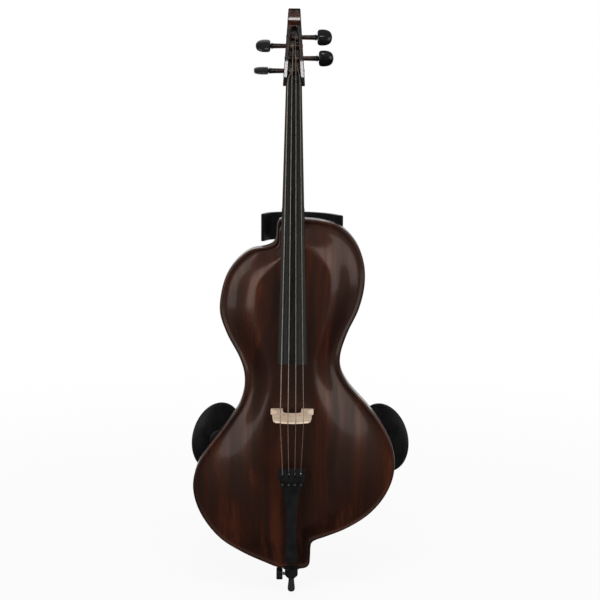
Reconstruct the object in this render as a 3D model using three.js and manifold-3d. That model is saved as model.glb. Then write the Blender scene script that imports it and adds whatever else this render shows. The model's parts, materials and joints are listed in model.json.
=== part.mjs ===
// Electric cello: an S-shaped moulded body, a long neck with four pegs, a bridge, a tailpiece with
// fine tuners, a sliding endpin, a chest rest and two knee rests.
// Lengths are in millimetres and angles in degrees. +Z runs up the instrument, +X to the viewer's
// right and the belly faces -Y. The origin is the centre of the endpin tip's flat underside.

import * as THREE from "three";
import { mergeVertices } from "three/addons/utils/BufferGeometryUtils.js";
import Module from "manifold-3d";

const wasm = await Module();
wasm.setup();

// Clearances shared by all pieces
const fitGap = 0.3; // between pieces that touch or seat
const runningGap = 0.4; // between a turning piece and its hole
const overrun = 4; // a cutter passes the face it opens by this much
const weld = 1; // how far two shapes of one piece run into each other

// Strings, which set the layout of the whole instrument
const stringLength = 684;
const stringRise = 117; // how much further out the strings are at the bridge than at the nut
const nutStringSpread = 24;
const bridgeStringSpread = 47;
const stringNames = ["c", "g", "d", "a"];
const cStringDiameter = 1.9;
const gStringDiameter = 1.6;
const dStringDiameter = 1.3;
const aStringDiameter = 1.1;
const windingTurns = 3;
const windingGap = 0.5;

// Body
const bodyBottomZ = 54;
const bodyLength = 740;
const bodyHalfWidth = 209;
const ribHalfDepth = 18;
const edgeRadius = 4.5;
const bellyRise = 18;
const backRise = 14;
const channelDepth = 1.4;
const shellWall = 5;
const bellyTopFall = 7; // the belly's ridge sinks by this much towards the neck
const topFallLength = 50;

// Bridge
const bridgeShare = 0.458; // place of the bridge's rear face, as a share of bodyLength
const bridgeHeight = 85;
const bridgeFootSpan = 88;
const bridgeFootThickness = 11.5;
const bridgeCrownThickness = 3;
const bridgeCrownRadius = 62;
const bridgeNotchDepth = 0.8;
const heartRadius = 3.2;
const kidneyLength = 11;
const kidneyHeight = 5;

// Fingerboard, nut and neck
const fingerboardLength = 567;
const fingerboardNutWidth = 32;
const fingerboardEndWidth = 60;
const fingerboardSide = 9;
const fingerboardArchRadius = 72;
const actionAtNut = 1.6;
const actionAtEnd = 7;
const scoopRadius = 40;
const scoopDepth = 5;
const nutLength = 9;
const nutOverhang = 4.5;
const nutRelief = 0.35;
const nutBreakShare = 0.75;
const neckDepthAtNut = 17;
const neckDepthAtHeel = 21;
const heelWidth = 46;
const heelLength = 88;
const heelDepth = 46;
const heelRound = 24;

// Pegbox and head
const pegboxLean = 8; // beyond the fingerboard's own lean
const pegboxLength = 142;
const pegboxNutWidth = 43;
const pegboxTopWidth = 24;
const pegboxDepth = 38;
const headDepth = 27;
const cheekThickness = 6.5;
const slotLength = 106;
const slotFloor = 7;
const headCurl = 10;

// Pegs, from the lowest up
const pegStations = { c: 27, a: 53, g: 78.5, d: 96.5 };
const pegSides = { c: -1, a: 1, g: -1, d: 1 };
const pegDepth = 17;
const pegSmallRadius = 3.9;
const pegTaper = 0.022;
const pegProjection = 31.5;
const pegCollarRadius = 6.3;
const pegCollarWidth = 3.2;
const pegChamfer = 0.5;
const pegNeckRadius = 4;
const pegHeadLength = 30;
const pegHeadWidth = 33;
const pegHeadThickness = 15;
const pegEndProud = 1.5;
const pegTurns = { c: 58, a: 28, g: 26, d: 6 };

// Tailpiece and fine tuners
const tailpieceLength = 218;
const tailpieceThickness = 13;
const tailpieceCrown = 90;
const tailpieceEndRise = 20.7; // its lower end above the body's bottom
const tailpieceEndLift = 40.8; // its lower end in front of the body's middle plane
const tailpieceLean = 12.5;
const tunerPitch = 12.5;
const stringSlotWidth = 3.2;
const stringSlotLength = 19;
const stringSeatDepth = 3.5;
const tunerAxleStation = 14;
const tunerScrewStation = 30;
const tunerAxleDepth = 9.5;
const tunerAxleRadius = 1.5;
const tunerWellDepth = 6.5;
const tunerWellStart = 6;
const tunerWellEnd = 40;
const leverWidth = 6;
const tunerWellMargin = 2.5;
const tunerWellWidth = tunerPitch * 3 + leverWidth + tunerWellMargin;
const tailpieceCheek = 5; // wall at each side of the levers' well
const tailpieceTopWidth = tunerWellWidth + tailpieceCheek * 2;
const leverThickness = 2.6;
const leverHubRadius = 3;
const leverTail = 19;
const forkThickness = 2.4;
const ballRadius = 1.5;
const tunerStemRadius = 2;
const tunerKnobRadius = 4.6;
const tunerKnobHeight = 4.6;
const tunerTravel = 3;
const knurlCount = 9;
const tailCordDiameter = 3.6;
const cordInTailpiece = 14;
const cordDepth = 6.8; // behind the tailpiece's front
const cordWrap = 0.95; // the cord goes past half a turn round the collar by this, in radians
const tailCordSpread = 11;

// Saddle and endpin
const saddleWidth = 34;
const saddleHeight = 7;
const saddleDepth = 9;
const collarRadius = 13.6;
const collarLength = 25;
const collarChamfer = 5;
const collarGroove = 0.8;
const collarMouthRadius = 7.2;
const plugRadius = 8.6;
const plugLength = 48;
const rodRadius = 5;
const rodLength = 385;
const tipLength = 28;
const tipTopRadius = 6;
const tipRadius = 7.6;
const tipFootRadius = 4.5;
const tipSocketDepth = 18;
const clampStation = 15; // endpin screw, below the body
const clampStemRadius = 3.5;
const clampTravel = 3;
const thumbKnobRadius = 13.5;
const thumbKnobWidth = 13;
const thumbKnobLobes = 6;

// Blocks inside the body
const centreBlockWidth = 44;
const centreBlockFootWidth = 84;
const centreBlockFootHeight = 46;
const centreBlockHeelGap = 12;
const centreBlockBottomShare = 0.43; // shares of bodyLength from the bottom
const endBlockWidth = 56;
const endBlockHeight = 66;
const pickupLength = 20;
const pickupWidth = 9;
const pickupThickness = 2.2;

// Chest rest
const chestPostDrop = 24; // from the centre block's top to the post
const chestPostRadius = 7;
const chestPostInner = 34;
const chestSocketRadius = 14;
const chestSocketHeight = 24;
const chestFlangeRadius = 22;
const chestFlangeThickness = 4;
const chestRestHeight = 57;
const chestRestThickness = 9;
const chestRestLip = 0.55; // thickness at its edges, as a share of its thickness
const chestRestShare = 0.9243; // of its lower edge, as a share of bodyLength
const chestRestLeft = 65;
const chestRestRight = 101;
const chestRestBack = 92;
const chestLeftDepth = 48;
const chestRightDepth = 30;
const chestBarWidth = 26;
const chestBarThickness = 6;

// Knee rests
const kneeHubShare = 0.353; // as shares of bodyLength
const kneeHubLeft = 153;
const kneeHubRight = 187;
const kneePivotShare = 0.373;
const kneePivotLeft = 74;
const kneePivotRight = 104;
const kneeBossRadius = 17;
const kneeBossRise = 7; // beyond the back's ridge
const kneeArmThickness = 7;
const kneeArmWidth = 26;
const kneeHubRadius = 21;
const kneeHubHeight = 20;
const kneePadHeight = 148;
const kneePadWidth = 118;
const kneePadThickness = 9;
const kneePadDish = 9;
const kneePadYaw = 30;
const kneePadTilt = 14;
const kneeStemRadius = 4;
const kneeStemLength = 12;

// Controls on the back
const controlShare = 0.757; // of bodyLength
const controlX = 40;
const controlPlateLength = 104;
const controlPlateWidth = 32;
const controlPlateThickness = 2.5;
const ledge = 4; // what the control plate rests on round its opening
const knobRadius = 9;
const knobHeight = 13;
const knobGrips = 10;
const knobStemRadius = 3;
const knobPitch = 34;
const jackRadius = 6;
const jackBoreRadius = 3.2;
const jackDepth = 26;
const boardLength = 64;
const boardWidth = 25;
const boardThickness = 1.6;
const potRadius = 8;
const potHeight = 9;
const batteryWidth = 26.5;
const batteryLength = 48.5;
const batteryThickness = 17.5;
const batteryWall = 2.5;
const batteryDoorThickness = 2.5;
const batteryDoorLip = 4;

// Outline of the body seen from the front, from the top of its left shoulder round by the bottom.
// Each row is an edge point, then the foot of the ridge facing it: x as a share of bodyHalfWidth
// and z as a share of bodyLength, from the body's bottom.
const bodyShares = [
  [0.0, 1.0, 0.0, 0.93],
  [-0.08, 1.0, -0.03, 0.93],
  [-0.132, 0.997, -0.045, 0.928],
  [-0.153, 0.986, -0.05, 0.925],
  [-0.158, 0.966, -0.055, 0.92],
  [-0.165, 0.947, -0.06, 0.913],
  [-0.195, 0.931, -0.075, 0.905],
  [-0.26, 0.922, -0.11, 0.893],
  [-0.411, 0.913, -0.17, 0.872],
  [-0.554, 0.881, -0.25, 0.848],
  [-0.65, 0.84, -0.32, 0.822],
  [-0.704, 0.785, -0.34, 0.77],
  [-0.71, 0.735, -0.335, 0.73],
  [-0.643, 0.678, -0.3, 0.678],
  [-0.52, 0.611, -0.22, 0.612],
  [-0.474, 0.568, -0.19, 0.568],
  [-0.474, 0.525, -0.195, 0.525],
  [-0.528, 0.474, -0.225, 0.478],
  [-0.65, 0.421, -0.25, 0.43],
  [-0.82, 0.357, -0.27, 0.372],
  [-0.935, 0.305, -0.29, 0.32],
  [-0.983, 0.25, -0.305, 0.26],
  [-0.962, 0.2, -0.3, 0.21],
  [-0.88, 0.147, -0.275, 0.165],
  [-0.714, 0.089, -0.225, 0.125],
  [-0.49, 0.048, -0.16, 0.1],
  [-0.264, 0.0185, -0.09, 0.105],
  [-0.137, 0.0045, -0.05, 0.1],
  [0.0, 0.0, 0.0, 0.098],
  [0.104, 0.0008, 0.035, 0.1],
  [0.15, 0.0045, 0.05, 0.102],
  [0.178, 0.0135, 0.058, 0.106],
  [0.187, 0.034, 0.065, 0.113],
  [0.191, 0.062, 0.075, 0.121],
  [0.2, 0.0755, 0.085, 0.127],
  [0.235, 0.084, 0.105, 0.132],
  [0.33, 0.094, 0.15, 0.138],
  [0.55, 0.12, 0.22, 0.15],
  [0.773, 0.162, 0.29, 0.17],
  [0.93, 0.216, 0.32, 0.22],
  [1.013, 0.278, 0.325, 0.28],
  [1.008, 0.345, 0.305, 0.345],
  [0.92, 0.407, 0.275, 0.4],
  [0.742, 0.476, 0.245, 0.462],
  [0.55, 0.538, 0.2, 0.535],
  [0.477, 0.58, 0.19, 0.575],
  [0.471, 0.62, 0.2, 0.618],
  [0.537, 0.681, 0.265, 0.678],
  [0.647, 0.749, 0.32, 0.745],
  [0.702, 0.82, 0.345, 0.805],
  [0.687, 0.883, 0.325, 0.86],
  [0.6, 0.94, 0.25, 0.885],
  [0.45, 0.98, 0.17, 0.905],
  [0.262, 0.995, 0.09, 0.92],
  [0.12, 0.999, 0.04, 0.928],
];
const outlinePoints = 61;

// Half of the bridge seen along the instrument: x as a share of half its foot span, height as a
// share of bridgeHeight, from the arch's top between the legs round to the crown.
const bridgeShares = [
  [0.0, 0.335],
  [0.2, 0.33],
  [0.35, 0.315],
  [0.41, 0.26],
  [0.43, 0.12],
  [0.43, 0.0],
  [1.0, 0.0],
  [1.0, 0.075],
  [0.86, 0.13],
  [0.74, 0.2],
  [0.69, 0.3],
  [0.7, 0.36],
  [0.82, 0.38],
  [0.9, 0.44],
  [0.9, 0.56],
  [0.86, 0.6],
  [0.87, 0.68],
  [0.86, 0.78],
  [0.79, 0.87],
  [0.72, 0.93],
];

// Right side of the tailpiece: half width and distance from its top, as shares of the top width
// and of its length.
const tailpieceShares = [
  [0.42, 0.0],
  [0.5, 0.02],
  [0.5, 0.055],
  [0.44, 0.14],
  [0.33, 0.22],
  [0.25, 0.33],
  [0.21, 0.45],
  [0.195, 0.62],
  [0.2, 0.78],
  [0.235, 0.92],
  [0.23, 0.975],
  [0.17, 1.0],
];

// Half of a peg's head seen along its flat: place from the collar's side outwards and half width,
// as shares of the head's length and half width.
const pegHeadShares = [
  [0.0, 0.35],
  [0.03, 0.82],
  [0.12, 0.96],
  [0.3, 1.0],
  [0.52, 0.98],
  [0.72, 0.88],
  [0.87, 0.7],
  [0.96, 0.44],
  [1.0, 0.16],
];

// Side view of pegbox and head: depth as a share of pegboxDepth and height as a share of
// pegboxLength, the front first and then down the back.
const headFrontShares = [
  [0.0, 0.0],
  [0.0, 0.75],
  [-0.04, 0.775],
  [-0.2, 0.81],
  [-0.24, 0.83],
  [-0.2, 0.87],
  [-0.08, 0.9],
  [0.0, 0.94],
  [0.0, 0.97],
  [-0.05, 0.985],
  [-0.02, 1.0],
];
const headBackShares = [
  [0.3, 0.985],
  [0.52, 0.93],
  [0.64, 0.84],
  [0.72, 0.68],
  [0.86, 0.35],
  [1.0, 0.06],
  [0.97, -0.03],
  [0.72, -0.075],
  [0.45, -0.1],
];

// Colours and finishes
function material(color, roughness, metalness = 0) {
  return new THREE.MeshStandardMaterial({ color, roughness, metalness });
}
const veneer = material(0x3a1a0e, 0.18);
const neckWood = material(0x6b2f12, 0.25);
const innerWood = material(0xb08a5a, 0.7);
const ebony = material(0x0b0b0c, 0.35);
const mapleWood = material(0xdcb98c, 0.5);
const blackPlastic = material(0x0d0e0f, 0.4);
const blackMetal = material(0x101112, 0.35, 0.8);
const steel = material(0x9a9a9a, 0.3, 1);
const rubber = material(0x0c0c0c, 0.8);
const brass = material(0xb08d46, 0.3, 1);
const boardGreen = material(0x1d4a2c, 0.5);
const pickupWhite = material(0xd8d4c8, 0.6);

const cello = new THREE.Group();
const degrees = THREE.MathUtils.degToRad;

// A closed geometry as a solid with its faces turned outwards.
function solid(geometry) {
  const bare = geometry.index ? geometry.toNonIndexed() : geometry.clone();
  bare.deleteAttribute("normal");
  bare.deleteAttribute("uv");
  const merged = mergeVertices(bare, 1e-4);
  const positions = merged.attributes.position.array;
  const corners = new Uint32Array(merged.index.array);
  const made = new wasm.Manifold(
    new wasm.Mesh({ numProp: 3, vertProperties: positions, triVerts: corners }),
  );
  if (made.volume() > 0) return made;
  for (let i = 0; i < corners.length; i += 3) {
    [corners[i + 1], corners[i + 2]] = [corners[i + 2], corners[i + 1]];
  }
  return new wasm.Manifold(
    new wasm.Mesh({ numProp: 3, vertProperties: positions, triVerts: corners }),
  );
}

// A solid back as a geometry for a mesh.
function geometryOf(made) {
  const mesh = made.getMesh();
  const geometry = new THREE.BufferGeometry();
  const stride = mesh.numProp;
  const positions = new Float32Array((mesh.vertProperties.length / stride) * 3);
  for (let i = 0; i < positions.length / 3; i += 1) {
    positions.set(mesh.vertProperties.subarray(i * stride, i * stride + 3), i * 3);
  }
  geometry.setAttribute("position", new THREE.BufferAttribute(positions, 3));
  geometry.setIndex(new THREE.BufferAttribute(new Uint32Array(mesh.triVerts), 1));
  geometry.computeVertexNormals();
  return geometry;
}

function moved(geometry, x, y, z) {
  return geometry.translate(x, y, z);
}

// Names a piece and puts it in its group.
function piece(name, shape, finish, parent = cello) {
  const geometry = shape.isBufferGeometry ? geometryOf(solid(shape)) : geometryOf(shape);
  const mesh = new THREE.Mesh(geometry, finish);
  mesh.name = name;
  parent.add(mesh);
  return mesh;
}

// Turns a profile of [radius, height] about Z.
function turned(profile, sides = 24) {
  const points = profile.map(([radius, height]) => new THREE.Vector2(radius, height));
  return new THREE.LatheGeometry(points, sides).rotateX(Math.PI / 2);
}

// A cylinder between two heights, along Z.
function rod(radius, low, high, sides = 24) {
  return turned([[0, low], [radius, low], [radius, high], [0, high]], sides);
}

// The same shapes laid along another axis, low to high in that axis's sense.
function alongX(geometry) {
  return geometry.rotateY(Math.PI / 2);
}
function alongY(geometry) {
  return geometry.rotateX(-Math.PI / 2);
}

function box(width, depth, height) {
  return new THREE.BoxGeometry(width, depth, height);
}

// An outline in X and Z, given depth along Y between two values.
function plate(points, near, far, curveSegments = 12) {
  const outline = points instanceof THREE.Shape ? points : new THREE.Shape(points);
  const geometry = new THREE.ExtrudeGeometry(outline, {
    depth: far - near,
    bevelEnabled: false,
    curveSegments,
  });
  return geometry.rotateX(Math.PI / 2).translate(0, far, 0);
}

// A rectangle with rounded corners, centred, as a shape.
function roundedRectangle(width, height, radius) {
  const shape = new THREE.Shape();
  const right = width / 2;
  const top = height / 2;
  shape.moveTo(right, -top + radius);
  shape.absarc(right - radius, top - radius, radius, 0, Math.PI / 2);
  shape.absarc(-right + radius, top - radius, radius, Math.PI / 2, Math.PI);
  shape.absarc(-right + radius, -top + radius, radius, Math.PI, Math.PI * 1.5);
  shape.absarc(right - radius, -top + radius, radius, Math.PI * 1.5, Math.PI * 2);
  return shape;
}

// Closed rings of equal count joined in order, the first and last closed by flat-mapped caps.
function skinned(rings, capAxes) {
  const count = rings[0].length;
  const positions = rings.flat().flatMap((point) => [point.x, point.y, point.z]);
  const corners = [];
  for (let ring = 0; ring + 1 < rings.length; ring += 1) {
    for (let i = 0; i < count; i += 1) {
      const next = (i + 1) % count;
      const here = ring * count;
      const there = here + count;
      corners.push(here + i, here + next, there + next);
      corners.push(here + i, there + next, there + i);
    }
  }
  const capped = (ring, start, flip) => {
    const flat = ring.map((point) => new THREE.Vector2(point[capAxes[0]], point[capAxes[1]]));
    const clockwise = THREE.ShapeUtils.isClockWise(flat);
    const order = clockwise ? flat.slice().reverse() : flat;
    for (const triangle of THREE.ShapeUtils.triangulateShape(order, [])) {
      const [a, b, c] = triangle.map((i) => start + (clockwise ? count - 1 - i : i));
      if (clockwise === flip) corners.push(a, b, c);
      else corners.push(a, c, b);
    }
  };
  const lastStart = (rings.length - 1) * count;
  const build = (flip) => {
    corners.length = (rings.length - 1) * count * 6;
    capped(rings[0], 0, flip);
    capped(rings[rings.length - 1], lastStart, !flip);
    const geometry = new THREE.BufferGeometry();
    geometry.setAttribute("position", new THREE.Float32BufferAttribute(positions, 3));
    geometry.setIndex(corners.slice());
    return geometry;
  };
  const matches = (geometry) => {
    const seen = new Set();
    const index = geometry.index.array;
    for (let i = 0; i < index.length; i += 3) {
      for (let k = 0; k < 3; k += 1) {
        const edge = index[i + k] * positions.length + index[i + ((k + 1) % 3)];
        if (seen.has(edge)) return false;
        seen.add(edge);
      }
    }
    return true;
  };
  const first = build(false);
  return matches(first) ? first : build(true);
}

// A round tube through a list of places, closed at both ends.
function tube(places, radius, sides) {
  const rings = [];
  let side = null;
  places.forEach((place, i) => {
    const before = places[Math.max(i - 1, 0)];
    const after = places[Math.min(i + 1, places.length - 1)];
    const along = after.clone().sub(before).normalize();
    if (!side) side = new THREE.Vector3(1, 0, 0).cross(along).normalize();
    side = side.clone().addScaledVector(along, -side.dot(along)).normalize();
    const other = along.clone().cross(side);
    const ring = [];
    for (let k = 0; k < sides; k += 1) {
      const angle = (k / sides) * Math.PI * 2;
      const spoke = side.clone().multiplyScalar(Math.cos(angle));
      spoke.addScaledVector(other, Math.sin(angle));
      ring.push(place.clone().addScaledVector(spoke, radius));
    }
    rings.push(ring);
  });
  return { rings, sides };
}

// Rings of a tube as a geometry, its ends closed by fans about their centres.
function tubeGeometry(places, radius, sides) {
  const { rings } = tube(places, radius, sides);
  const positions = rings.flat().flatMap((point) => point.toArray());
  const first = places[0];
  const last = places[places.length - 1];
  positions.push(...first.toArray(), ...last.toArray());
  const firstIndex = rings.length * sides;
  const corners = [];
  for (let ring = 0; ring + 1 < rings.length; ring += 1) {
    for (let i = 0; i < sides; i += 1) {
      const next = (i + 1) % sides;
      const here = ring * sides;
      const there = here + sides;
      corners.push(here + i, here + next, there + next);
      corners.push(here + i, there + next, there + i);
    }
  }
  const end = (rings.length - 1) * sides;
  for (let i = 0; i < sides; i += 1) {
    const next = (i + 1) % sides;
    corners.push(firstIndex, next, i);
    corners.push(firstIndex + 1, end + i, end + next);
  }
  const geometry = new THREE.BufferGeometry();
  geometry.setAttribute("position", new THREE.Float32BufferAttribute(positions, 3));
  geometry.setIndex(corners);
  return geometry;
}

// Places that several pieces share
const bodyTopZ = bodyBottomZ + bodyLength;
const bridgeZ = bodyBottomZ + bridgeShare * bodyLength;
const bellyRidgeY = -(ribHalfDepth + bellyRise);
const backRidgeY = ribHalfDepth + backRise;
const centreBlockTopZ = bodyTopZ - heelLength - centreBlockHeelGap;
const crownY = bellyRidgeY - fitGap - bridgeHeight;
const crownZ = bridgeZ + bridgeCrownThickness / 2;
const nutY = crownY + stringRise;
const nutZ = crownZ + Math.sqrt(stringLength ** 2 - stringRise ** 2);
const stringLean = Math.atan2(stringRise, nutZ - crownZ);
const neckLean = stringLean - Math.atan2(actionAtEnd - actionAtNut, fingerboardLength);

const neckGroup = new THREE.Group();
neckGroup.position.set(0, nutY, nutZ);
neckGroup.rotation.x = -neckLean;
cello.add(neckGroup);
const pegboxGroup = new THREE.Group();
pegboxGroup.rotation.x = -degrees(pegboxLean);
neckGroup.add(pegboxGroup);
const tailpieceGroup = new THREE.Group();
tailpieceGroup.position.set(
  0,
  -tailpieceEndLift - tailpieceLength * Math.sin(degrees(tailpieceLean)),
  bodyBottomZ + tailpieceEndRise + tailpieceLength * Math.cos(degrees(tailpieceLean)),
);
tailpieceGroup.rotation.x = degrees(tailpieceLean);
cello.add(tailpieceGroup);
cello.updateMatrixWorld(true);

function mix(from, to, share) {
  return from + (to - from) * share;
}
function smooth(share) {
  const held = Math.min(Math.max(share, 0), 1);
  return held * held * (3 - 2 * held);
}

// The body's edge and the foot of its ridge as two closed curves with matching points.
function bodyCurves() {
  const along = (xColumn, zColumn) => {
    const points = bodyShares.map(
      (row) =>
        new THREE.Vector3(
          row[xColumn] * bodyHalfWidth,
          0,
          bodyBottomZ + row[zColumn] * bodyLength,
        ),
    );
    const curve = new THREE.CatmullRomCurve3(points, true, "centripetal");
    return curve.getPoints(outlinePoints).slice(0, -1);
  };
  return { edge: along(0, 1), foot: along(2, 3) };
}

// A closed ring around the body: each point lies between edge and foot, at its own depth.
function bodyRing(curves, insetAt, depthAt) {
  return curves.edge.map((edge, i) => {
    const foot = curves.foot[i];
    const span = edge.distanceTo(foot);
    const inset = insetAt(span);
    const point = edge.clone().lerp(foot, inset / span);
    point.y = depthAt(point.z, inset);
    return point;
  });
}

// Half of the body's shell, the belly with sign -1 or the back with sign 1: outside from the ridge
// to the seam, then inside from the seam back to the ridge.
function bodyShell(sign, rise, topFall) {
  const curves = bodyCurves();
  const channelInset = edgeRadius * 2.2;
  const seam = sign * (fitGap / 2);
  const arch = (share, wall) => (z) => {
    const fall = topFall * smooth((z - bodyTopZ + topFallLength) / topFallLength);
    const low = ribHalfDepth - channelDepth;
    return sign * (low + (rise + channelDepth - fall) * smooth(share) - wall);
  };
  const onArch = (share, wall) =>
    bodyRing(curves, (span) => mix(channelInset, span, share), arch(share, wall));
  const atEdge = (inset, depth) =>
    bodyRing(curves, () => inset, () => depth);
  const corner = Math.SQRT1_2;
  const outside = [1, 0.78, 0.56, 0.34, 0.14, 0].map((share) => onArch(share, 0));
  outside.push(atEdge(edgeRadius, sign * ribHalfDepth));
  outside.push(
    atEdge(edgeRadius * (1 - corner), sign * (ribHalfDepth - edgeRadius * (1 - corner))),
  );
  outside.push(atEdge(0, sign * (ribHalfDepth - edgeRadius)));
  outside.push(atEdge(0, seam));
  const inside = [
    atEdge(shellWall, seam),
    atEdge(shellWall, sign * (ribHalfDepth - edgeRadius - shellWall / 2)),
    ...[0, 0.5, 1].map((share) => onArch(share, shellWall)),
  ];
  return solid(skinned([...outside, ...inside], ["x", "z"]));
}

function worldSolid(geometry, group) {
  return solid(geometry.clone().applyMatrix4(group.matrixWorld));
}

// The heel of the neck in the neck's own frame, grown by a clearance for its mortise.
function heelGeometry(grown) {
  const top = -(nutZ - bodyTopZ) / Math.cos(neckLean);
  const front = actionAtNut + fingerboardSide + fingerboardSagAtNut() + fitGap - grown;
  const back = front + heelDepth + grown * 2;
  const high = top + heelRound + grown;
  const low = top - heelLength - grown;
  const side = new THREE.Shape();
  side.moveTo(front, high);
  side.lineTo(front, low);
  side.lineTo(back - heelRound, low);
  side.quadraticCurveTo(back, low, back, low + heelRound);
  side.lineTo(back, top);
  side.quadraticCurveTo(back, high, back - heelRound, high);
  return sideways(side, heelWidth + grown * 2);
}

// A side view in Y and Z, given a width across X about the middle.
function sideways(shape, width) {
  const geometry = new THREE.ExtrudeGeometry(shape, {
    depth: width,
    bevelEnabled: false,
    curveSegments: 8,
  });
  const turn = new THREE.Matrix4().makeBasis(
    new THREE.Vector3(0, 1, 0),
    new THREE.Vector3(0, 0, 1),
    new THREE.Vector3(1, 0, 0),
  );
  return geometry.applyMatrix4(turn).translate(-width / 2, 0, 0);
}

function fingerboardSagAtNut() {
  const half = fingerboardNutWidth / 2;
  return fingerboardArchRadius - Math.sqrt(fingerboardArchRadius ** 2 - half ** 2);
}

// Room for the fingerboard, which a longer body's belly would reach.
function fingerboardRoom() {
  const depth = fingerboardSide + fitGap * 2;
  const room = box(fingerboardEndWidth + fitGap * 2, depth, fingerboardLength + fitGap);
  const middle = actionAtNut + fingerboardSagAtNut() + fitGap + depth / 2;
  return moved(room, 0, middle, -(fingerboardLength + fitGap) / 2);
}

// Belly and back shells with every seat cut into them
function makeBody() {
  const front = bodyShell(-1, bellyRise, bellyTopFall);
  const mortise = worldSolid(heelGeometry(fitGap), neckGroup);
  const plugHole = solid(
    rod(plugRadius + fitGap, bodyBottomZ - overrun, bodyBottomZ + plugLength + overrun, 20),
  );
  const saddleSeat = solid(saddleBlock(fitGap));
  const boardRoom = worldSolid(fingerboardRoom(), neckGroup);
  let belly = front.subtract(mortise).subtract(plugHole).subtract(saddleSeat);
  belly = belly.subtract(boardRoom);
  for (const side of [-1, 1]) belly = belly.subtract(solid(pickupChip(side, fitGap)));
  piece("body_front", belly, veneer);
  let back = bodyShell(1, backRise, 0);
  for (const { pivotX } of kneeSides) {
    back = back.add(solid(kneeBoss(pivotX)));
  }
  for (const { pivotX } of kneeSides) {
    back = back.subtract(solid(kneeBossBore(pivotX)));
  }
  back = back.subtract(plugHole).subtract(mortise);
  back = back.subtract(solid(chestPostHole(chestSocketRadius + fitGap)));
  for (const cut of controlCuts()) back = back.subtract(solid(cut));
  back = back.subtract(solid(batteryCut()));
  piece("body_back", back, veneer);
}

// One pickup under a foot of the bridge, grown by a clearance for its room in the belly.
function pickupChip(side, grown) {
  const near = bellyRidgeY + shellWall + fitGap;
  const chip = box(
    pickupLength + grown * 2,
    pickupThickness + grown * 2,
    pickupWidth + grown * 2,
  );
  const x = side * (bridgeFootSpan / 2 - pickupLength / 2);
  return moved(chip, x, near + pickupThickness / 2, pickupZ);
}

// Blocks between belly and back, and the pickups let into the centre block under the bridge's feet
function makeBlocks() {
  const near = bellyRidgeY + shellWall + fitGap;
  const far = backRidgeY - shellWall - fitGap;
  const low = bodyBottomZ + centreBlockBottomShare * bodyLength;
  const shoulder = low + centreBlockFootHeight;
  const half = centreBlockWidth / 2;
  const foot = centreBlockFootWidth / 2;
  const outline = [
    new THREE.Vector2(-foot, low),
    new THREE.Vector2(foot, low),
    new THREE.Vector2(foot, shoulder),
    new THREE.Vector2(half, shoulder + foot - half),
    new THREE.Vector2(half, centreBlockTopZ),
    new THREE.Vector2(-half, centreBlockTopZ),
    new THREE.Vector2(-half, shoulder + foot - half),
    new THREE.Vector2(-foot, shoulder),
  ];
  let block = solid(plate(outline, near, far));
  const rodTop = tipSocketDepth + rodLength;
  const rodRoom = rodRadius + fitGap + runningGap;
  block = block.subtract(solid(rod(rodRoom, low - overrun, rodTop + overrun, 16)));
  block = block.subtract(solid(chestPostHole(chestPostRadius + runningGap)));
  const seat = pickupThickness + fitGap;
  for (const side of [-1, 1]) {
    const x = side * (bridgeFootSpan / 2 - pickupLength / 2);
    const recess = box(
      pickupLength + fitGap * 2,
      seat + overrun,
      pickupWidth + fitGap * 2,
    );
    const middle = near + (seat - overrun) / 2;
    block = block.subtract(solid(moved(recess, x, middle, pickupZ)));
  }
  piece("centre_block", block, innerWood);
  piece("pickup_left", pickupChip(-1, 0), pickupWhite);
  piece("pickup_right", pickupChip(1, 0), pickupWhite);
  makeEndBlock();
}
const pickupZ = bridgeZ + bridgeFootThickness / 2;

function makeEndBlock() {
  const low = bodyBottomZ + shellWall * 2.4;
  const depth = (ribHalfDepth - channelDepth - shellWall - fitGap) * 2;
  const shape = roundedRectangle(endBlockWidth, endBlockHeight, endBlockWidth / 5);
  const block = plate(shape, -depth / 2, depth / 2, 4);
  const placed = solid(moved(block, 0, 0, low + endBlockHeight / 2));
  const bore = solid(
    rod(plugRadius + fitGap, low - overrun, bodyBottomZ + plugLength + fitGap),
  );
  const rodRoom = rodRadius + fitGap + runningGap;
  const rodBore = solid(rod(rodRoom, low, low + endBlockHeight + overrun, 16));
  piece("end_block", placed.subtract(bore).subtract(rodBore), innerWood);
}

// Width of the fingerboard and of the neck under it, at a height in the neck's frame
function fingerboardWidth(z) {
  return mix(fingerboardNutWidth, fingerboardEndWidth, -z / fingerboardLength);
}
const neckFront = actionAtNut + fingerboardSagAtNut() + fingerboardSide + fitGap;

// Fingerboard: an arched top that widens towards its end, scooped underneath past the heel
function makeFingerboard() {
  const steps = 8;
  const section = (z) => {
    const half = fingerboardWidth(z) / 2;
    const under = neckFront - fitGap;
    const ring = [new THREE.Vector3(-half, under, z)];
    for (let i = 0; i <= steps; i += 1) {
      const x = mix(-half, half, i / steps);
      const sag = fingerboardArchRadius - Math.sqrt(fingerboardArchRadius ** 2 - x * x);
      ring.push(new THREE.Vector3(x, actionAtNut + sag, z));
    }
    ring.push(new THREE.Vector3(half, under, z));
    return ring;
  };
  const rings = [0, 0.25, 0.5, 0.75, 1].map((share) => section(-share * fingerboardLength));
  let board = solid(skinned(rings, ["x", "y"]));
  const heelFoot = -(nutZ - bodyTopZ) / Math.cos(neckLean) - heelLength;
  const scoop = rod(scoopRadius, -fingerboardLength - overrun, heelFoot, 32);
  const scoopAxis = neckFront - fitGap - scoopDepth + scoopRadius;
  board = board.subtract(solid(moved(scoop, 0, scoopAxis, 0)));
  piece("fingerboard", board, ebony, neckGroup);
}

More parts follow.
